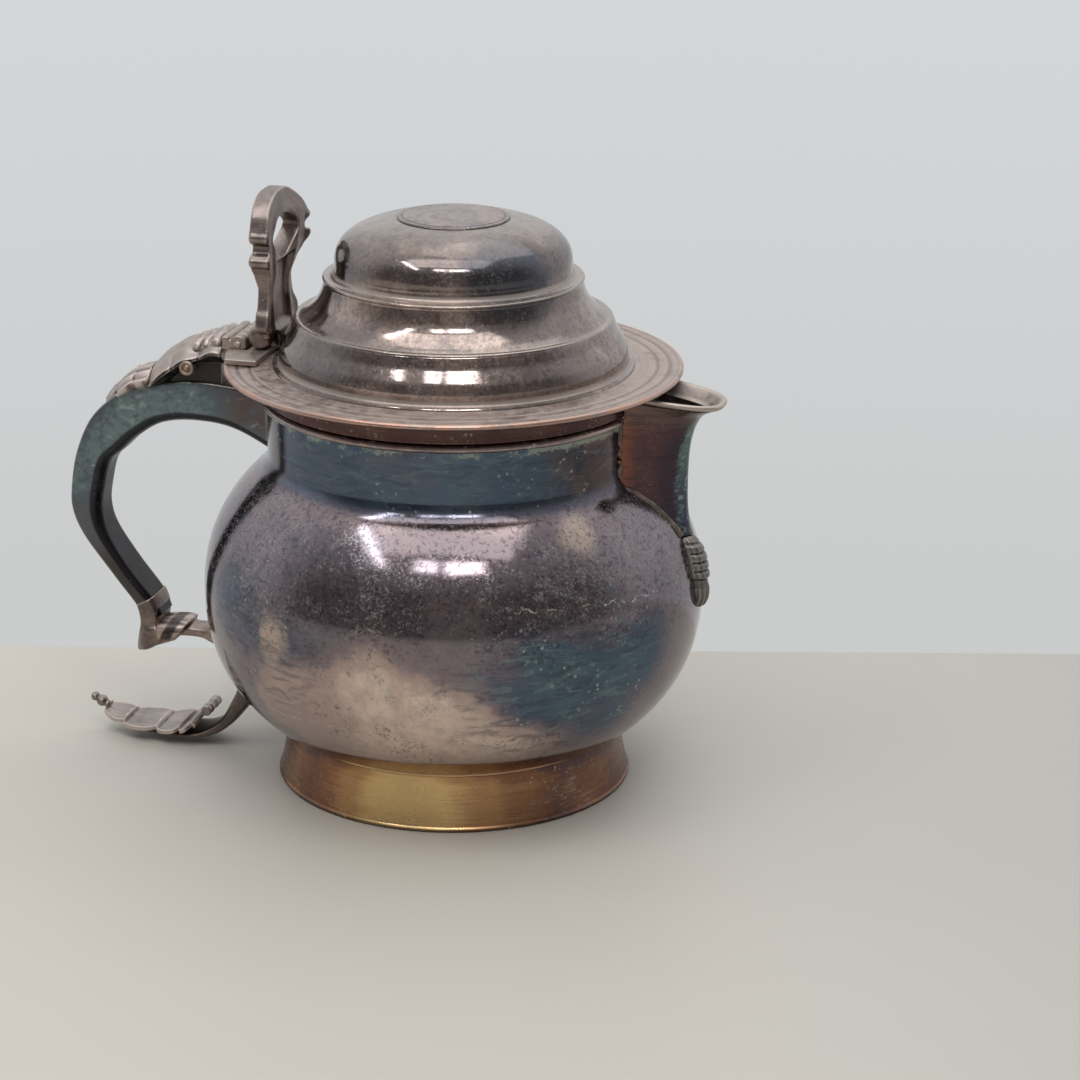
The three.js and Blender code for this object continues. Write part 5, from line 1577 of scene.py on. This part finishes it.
def disc_finish():
    made = Finish("set disc")
    film = made.mottled(made.noise(14.0, 9.0) * 0.2 + 0.2, 0.2, 0.22, 11.0, 6.0)
    made.ramp(film, FILM)
    radius = made.from_axis()
    # dark line in the small groove, and painted contact shade round the disc's outer edge where it sits on
    # the crown
    line = made.most(made.from_zero(radius - 16.25, 0.4, 0.15), made.band(radius, 17.3, 17.75))
    dust = made.dust(0.8, 0.99, 0.6, 2.6)
    made.coat(dust, (0.45, 0.42, 0.385))
    made.coat(line * 0.6, (0.07, 0.06, 0.055))
    crust = made.specks(0.9, 0.36, 55.0, 7.0)
    made.coat(crust * 0.5, (0.56, 0.52, 0.48))
    rough = made.noise(5.0) * 0.14 + dust * 0.3 + 0.25
    bump = made.noise(5.0, 0, 2.0, 0.5) + made.noise(0.7) * 0.2
    return made.finish(rough, 1.0 - dust * 0.6, bump, 0.06)


def foot_finish():
    made = Finish("worn foot")
    film = made.mottled(made.noise(30.0, 2.0, 2.0, 0.5) * 0.2 + 0.56, 0.34, 0.2, 20.0, 25.0)
    film = toward(film, 0.28, made.patch((6, -56, 10), 33, 12, (1, 1, 0.5), ragged=14.0))
    film = toward(film, -0.06, made.patch((0, -56, 10), 15, 9, (1, 1, 0.5), ragged=8.0))
    film = toward(film, 0.5, made.patch((34, -45, 9), 7, 5, (1, 1, 0.5), ragged=7.0) * 0.8)
    film = toward(film, 0.46, made.patch((-46, -33, 9), 9, 6, (1, 1, 0.5), ragged=6.0))
    film = film + made.band(made.z, 14.0, 17.6) * 0.18 - made.band(made.z, 17.6, 18.4) * 0.45
    brushed = made.streaks(0.04, 1.1, rough=0.65)
    film = film + (brushed - 0.5) * 0.34
    made.ramp(film, BRASS)
    made.coat(made.band(made.z, 1.8, 0.4) * 0.8, (0.06, 0.045, 0.04))
    made.coat(made.band(made.z, 17.9, 18.5) * 0.6, (0.50, 0.37, 0.27))
    marks = made.scratches(0.1, 1.6, 0.12, 8.0, 12.0)
    crust = made.specks(1.6, 0.3, 5.0, 12.0)
    made.coat(made.most(marks, crust) * 0.5, (0.62, 0.52, 0.42))
    rough = made.noise(8.0, 0, 4.0) * 0.14 + brushed * 0.08 + crust * 0.15 + 0.17
    bump = made.noise(9.0, 0, 2.0, 0.5) + brushed * 0.25 + made.noise(0.8) * 0.14
    return made.finish(rough, 1.0, bump, 0.08)


def neck_wire_finish():
    made = Finish("neck wire")
    brushed = made.streaks(0.06, 1.2)
    film = made.mottled(brushed * 0.2 + 0.16, 0.3, 0.2, 16.0, 44.0)
    film = toward(film, 0.2, made.patch((54, -26, RIM_Z - 6), 14, 8, ragged=8.0))
    made.ramp(film, FILM)
    crust = made.specks(1.7, 0.52, 2.0, 8.0) * 0.85
    made.coat(crust, (0.50, 0.60, 0.53))
    rough = made.noise(6.0) * 0.14 + crust * 0.3 + 0.24
    bump = made.noise(5.0, 0, 2.0, 0.5) + crust * 0.9 + brushed * 0.3
    return made.finish(rough, 1.0 - crust * 0.7, bump, 0.08)


def rim_strip_with_painted_reflection_finish():
    made = Finish("rim strip")
    brushed = made.streaks(0.06, 1.2)
    film = made.mottled(brushed * 0.3 + 0.35, 0.3, 0.2, 18.0, 24.0)
    # the dark red-brown paints a reflection of the brim's copper underside over the strip's own copper tone
    made.ramp(film, [(0.0, (0.30, 0.20, 0.16)), (0.3, (0.17, 0.09, 0.07)), (0.6, (0.085, 0.05, 0.05)),
                     (1.0, (0.05, 0.045, 0.055))])
    crust = made.specks(1.7, 0.4, 32.0, 9.0)
    made.coat(crust * 0.5, (0.44, 0.46, 0.40))
    rough = made.noise(6.0) * 0.12 + crust * 0.3 + 0.18
    return made.finish(rough, 1.0 - crust * 0.6, made.noise(5.0, 0, 2.0, 0.5) + crust * 0.5, 0.08)


def spout_finish():
    made = Finish("tarnished spout")
    outside = made.maths("ABSOLUTE", made.y)
    film = made.mottled(made.noise(26.0, 6.0, 2.0, 0.5) * 0.16 + 0.26, 0.4, 0.26, 13.0, 16.0)
    made.ramp(film, [(0.0, (0.30, 0.12, 0.075)), (0.16, (0.175, 0.08, 0.066)), (0.38, (0.10, 0.06, 0.066)),
                     (0.7, (0.055, 0.053, 0.07)), (1.0, (0.075, 0.11, 0.125))])
    radius = made.from_axis()
    root = made.band(radius, NECK_R + 7.0, NECK_R + 1.5)
    seam = made.band(outside + made.swing(3.0, 6.0, 21.0), 11.6, 15.0) * root
    made.coat(made.most(seam, root * made.blotches(0.5, 0.72, 7.0)) * 0.6, (0.30, 0.105, 0.055))
    ragged = outside + made.swing(3.0, 3.0, 15.0, 4.0, 0.65)
    made.coat(made.band(outside + made.swing(5.0, 7.0, 35.0), 10.5, 6.0) * 0.7, (0.05, 0.045, 0.062))
    keel = made.band(ragged, 5.0, 3.4)
    made.coat(keel * 0.85, made.mix(made.band(made.z, 100.0, 114.0), (0.085, 0.105, 0.15),
                                    (0.13, 0.20, 0.185)))
    made.coat(keel * made.blotches(0.52, 0.64, 1.6, 4.0, 4.0, 0.7) * 0.6, (0.36, 0.47, 0.42))
    made.coat(made.band(outside, 1.2, 0.3) * 0.5, (0.34, 0.38, 0.36))
    made.coat(made.band(made.z + made.swing(8.0, 9.0, 55.0), RIM_Z - 15, RIM_Z - 7) * 0.5,
              (0.16, 0.115, 0.10))
    strokes = made.streaks(0.09, 0.8, 2.0, 4.0, 0.65, 0.4)
    made.coat(made.band(strokes, 0.5, 0.64) * 0.5 * (1.0 - keel), (0.05, 0.038, 0.042))
    facing_in = made.band(made.facing_y * made.y, -0.2, -1.5)
    inside = made.most(made.band(made.up, 0.15, 0.6), facing_in)
    made.coat(inside * 0.9, made.mix(made.blotches(0.4, 0.65, 2.5, 0, 4.0, 0.65), (0.33, 0.29, 0.265),
                                     (0.17, 0.145, 0.135)))
    crust = made.specks(1.3, 0.24, 9.0, 12.0)
    made.coat(crust * 0.3, (0.4, 0.37, 0.35))
    rough = made.noise(8.0) * 0.12 + crust * 0.2 + inside * 0.25 + 0.16
    bump = made.noise(9.0, 0, 2.0, 0.5) + made.noise(0.9) * 0.15 + crust * 0.2
    return made.finish(rough, 1.0 - inside * 0.75, bump, 0.09)


def solder_finish():
    made = Finish("solder seam", (0.27, 0.215, 0.185))
    made.coat(made.blotches(0.35, 0.65, 4.0), (0.15, 0.12, 0.105))
    made.coat(made.blotches(0.6, 0.75, 2.0, 4.0) * 0.6, (0.42, 0.46, 0.42))
    return made.finish(made.noise(3.0) * 0.2 + 0.32, 1.0, made.noise(1.2), 0.2)


# Where a painted shade stripe stands for the dark hollow of the handle's horn, as (x, z)
HORN_SHADE_STRIPE = (-94.0, 44.5)


def cast_finish(name, ridge, body, deep, dust=0.4, size=9.0, warm=0.0, rough_base=0.34, shade=0.0,
                horn=False):
    """Cast metal: rubbed pale on its ridges and dark in its hollows. Given a shade height, painted shade
    darkens the side faces below it and every face that looks down; given horn, a painted shade stripe runs
    down the horn's hollow
    """
    made = Finish(name, body)
    hollow = made.hollow() + made.swing(0.12, size / 4, 3.0, 4.0, 0.65)
    cloud = made.blotches(0.3, 0.7, size, 8.0, 4.0, 0.65)
    made.coat(cloud * 0.7, ridge)
    made.coat(made.band(hollow, 0.46, 0.22), tuple(min(1.0, v * 1.25) for v in ridge))
    made.coat(made.band(hollow, 0.55, 0.84), deep)
    painted_under_shade = 0.0
    if shade:
        # painted shade: side faces below the shade height and faces that look down go near black, for the
        # shade under the leaf cap
        sides = made.from_zero(made.facing_y, 0.86, 0.97)
        painted_under_shade = made.most(sides * made.band(made.z, shade + 1.5, shade - 0.5),
                          made.band(made.up, -0.1, -0.5))
        made.coat(painted_under_shade * 0.92, (0.02, 0.018, 0.02))
    if horn:
        # painted shade: a dark stripe where the horn's hollow would lie in shade
        slant = (made.x - HORN_SHADE_STRIPE[0]) * 0.894 - (made.z - HORN_SHADE_STRIPE[1]) * 0.447
        made.coat(made.from_zero(slant, 2.2, 1.2) * made.band(made.z, 35.0, 38.0) * 0.9, deep)
    if warm:
        made.coat(made.blotches(0.6, 0.72, 7.0, 23.0) * warm, (0.52, 0.22, 0.10))
    lies = made.dust(0.45, 0.95, dust, 2.4)
    made.coat(lies, DUST)
    crust = made.specks(1.0, 0.34, 13.0, 9.0) * (1.0 - painted_under_shade)
    made.coat(crust * 0.45, (0.56, 0.55, 0.51))
    rough = made.noise(4.0, 0, 4.0) * 0.18 + crust * 0.15 + lies * 0.25 \
        + made.band(hollow, 0.55, 0.85) * 0.2 + rough_base
    bump = made.noise(3.0) + made.noise(0.7, 2.0) * 0.3 + crust * 0.25
    return made.finish(rough, 1.0 - lies * 0.5, bump, 0.07)


# The middle of the handle's loop, as (x, z)
HANDLE_MIDDLE = (-94.0, 84.0)


def handle_finish():
    made = Finish("tarnished handle")
    outward = made.facing_x * (made.x - HANDLE_MIDDLE[0]) + made.up * (made.z - HANDLE_MIDDLE[1])
    side = made.from_zero(made.facing_y, 0.93, 0.992)
    # painted shade mask: the faces turned in towards the middle of the loop
    inner = made.band(outward, 1.0, -3.0) * (1.0 - side)
    # painted highlight mask: the faces turned out, away from the loop's middle
    outer = made.band(outward, -2.0, 6.0) * (1.0 - side)
    low = made.band(made.z, 92.0, 74.0)
    film = made.mottled(made.noise(30.0, 4.0, 2.0, 0.5) * 0.2 + 0.62, 0.5, 0.6, 16.0, 2.0)
    film = toward(film, 0.36 + made.swing(0.3, 9.0, 61.0, 4.0), low * 0.85)
    film = toward(film, 0.5, made.band(made.x, -88.0, -70.0) * made.band(made.z, 104.0, 112.0) * 0.8)
    made.ramp(film, [(0.0, (0.34, 0.26, 0.21)), (0.25, (0.20, 0.16, 0.15)), (0.45, (0.14, 0.145, 0.155)),
                     (0.62, (0.125, 0.15, 0.175)), (0.8, (0.175, 0.235, 0.25)), (1.0, (0.34, 0.42, 0.385))])
    near_neck = made.band(made.x, -80.0, -66.0) * made.band(made.z, 106.0, 116.0)
    copper = near_neck * made.blotches(0.3, 0.6, 8.0, 31.0)
    made.coat(copper * 0.6, (0.13, 0.075, 0.062))
    streak = made.blotches(0.58, 0.72, 1.0, 12.0, place=made.stretched(0.09, 0.4, 0.22), warp=0.8)
    made.coat(streak * (1.0 - low) * 0.75, (0.40, 0.48, 0.43))
    hollow = made.hollow()
    made.coat(made.band(hollow, 0.44, 0.2) * made.blotches(0.3, 0.6, 6.0, 77.0) * 0.75, (0.44, 0.42, 0.38))
    made.coat(made.band(made.z + made.x * 0.3, 36.0, 26.0) * 0.7, (0.06, 0.055, 0.05))
    # painted shade: the inner faces darkened to near black
    made.coat(inner * 0.88, (0.03, 0.027, 0.03))
    # painted highlight: a blotchy copper-beige light on the outer faces
    made.coat(outer * made.blotches(0.3, 0.6, 8.0, 91.0) * 0.6, (0.25, 0.20, 0.15))
    crust = made.specks(1.3, 0.26, 3.0, 11.0)
    made.coat(crust * 0.35, (0.40, 0.43, 0.39))
    rough = made.noise(7.0, 0, 4.0) * 0.18 + crust * 0.2 + streak * 0.12 + 0.26
    bump = made.noise(9.0, 0, 2.0, 0.5) + made.noise(0.9) * 0.18 + crust * 0.3
    return made.finish(rough, 1.0, bump, 0.10)


# The jug

def make_jug():
    castings = cast_finish("cast fittings", (0.42, 0.34, 0.295), (0.15, 0.12, 0.108), (0.028, 0.024, 0.026),
                           0.2, horn=True)
    leaves = cast_finish("cast leaves", (0.50, 0.43, 0.40), (0.33, 0.28, 0.265), (0.03, 0.025, 0.028), 0.45)
    # the leaf cap gets painted shade on its side faces below this height
    cap_metal = cast_finish("cast leaf cap", (0.54, 0.47, 0.43), (0.36, 0.31, 0.285), (0.03, 0.025, 0.028),
                            0.55, shade=RIM_Z + 1.5)
    tail_strip = cast_finish("cast strip", (0.13, 0.105, 0.09), (0.05, 0.042, 0.038), (0.014, 0.012, 0.014),
                             0.06)
    # the tail leaf's finish is the leaf finish darkened, which paints in the shade the tail lies in low
    # under the belly
    tail_leaf = cast_finish("cast tail leaf", (0.50, 0.43, 0.39), (0.235, 0.195, 0.18), (0.02, 0.018, 0.02),
                            0.4)
    volutes = cast_finish("cast volutes", (0.50, 0.42, 0.37), (0.36, 0.26, 0.20), (0.03, 0.025, 0.025), 0.3,
                          warm=0.8)
    drop_metal = cast_finish("cast drop", (0.22, 0.215, 0.20), (0.125, 0.105, 0.10), (0.02, 0.018, 0.02),
                             0.15)
    thumb = cast_finish("cast thumbpiece", (0.34, 0.285, 0.255), (0.175, 0.143, 0.132),
                        (0.025, 0.022, 0.024), 0.25, rough_base=0.26)
    rim_metal = cast_finish("spout rim", (0.42, 0.365, 0.32), (0.19, 0.16, 0.145), (0.05, 0.042, 0.038),
                            0.35, size=3.2, rough_base=0.4)
    hinge_metal = cast_finish("hinge metal", (0.50, 0.43, 0.385), (0.34, 0.28, 0.25), (0.03, 0.026, 0.026),
                              0.4)
    pin_metal = cast_finish("pin wire", (0.46, 0.44, 0.41), (0.33, 0.31, 0.29), (0.05, 0.045, 0.045), 0.2)
    lump = body_lump()
    make_foot(foot_finish())
    make_body(belly_finish())
    make_neck_wires(neck_wire_finish(), rim_strip_with_painted_reflection_finish())
    make_spout(spout_finish(), rim_metal, solder_finish(), lump)
    make_drop(drop_metal, lump)
    make_handle(handle_finish(), lump)
    make_leaves(leaves, cap_metal, volutes)
    make_strut(castings, lump)
    make_tail(tail_strip, tail_leaf, lump)
    make_lid(lid_finish(), disc_finish(), brim_finish())
    make_hinge(hinge_metal, pin_metal)
    make_thumbpiece(thumb)
    drop(lump)


make_jug()
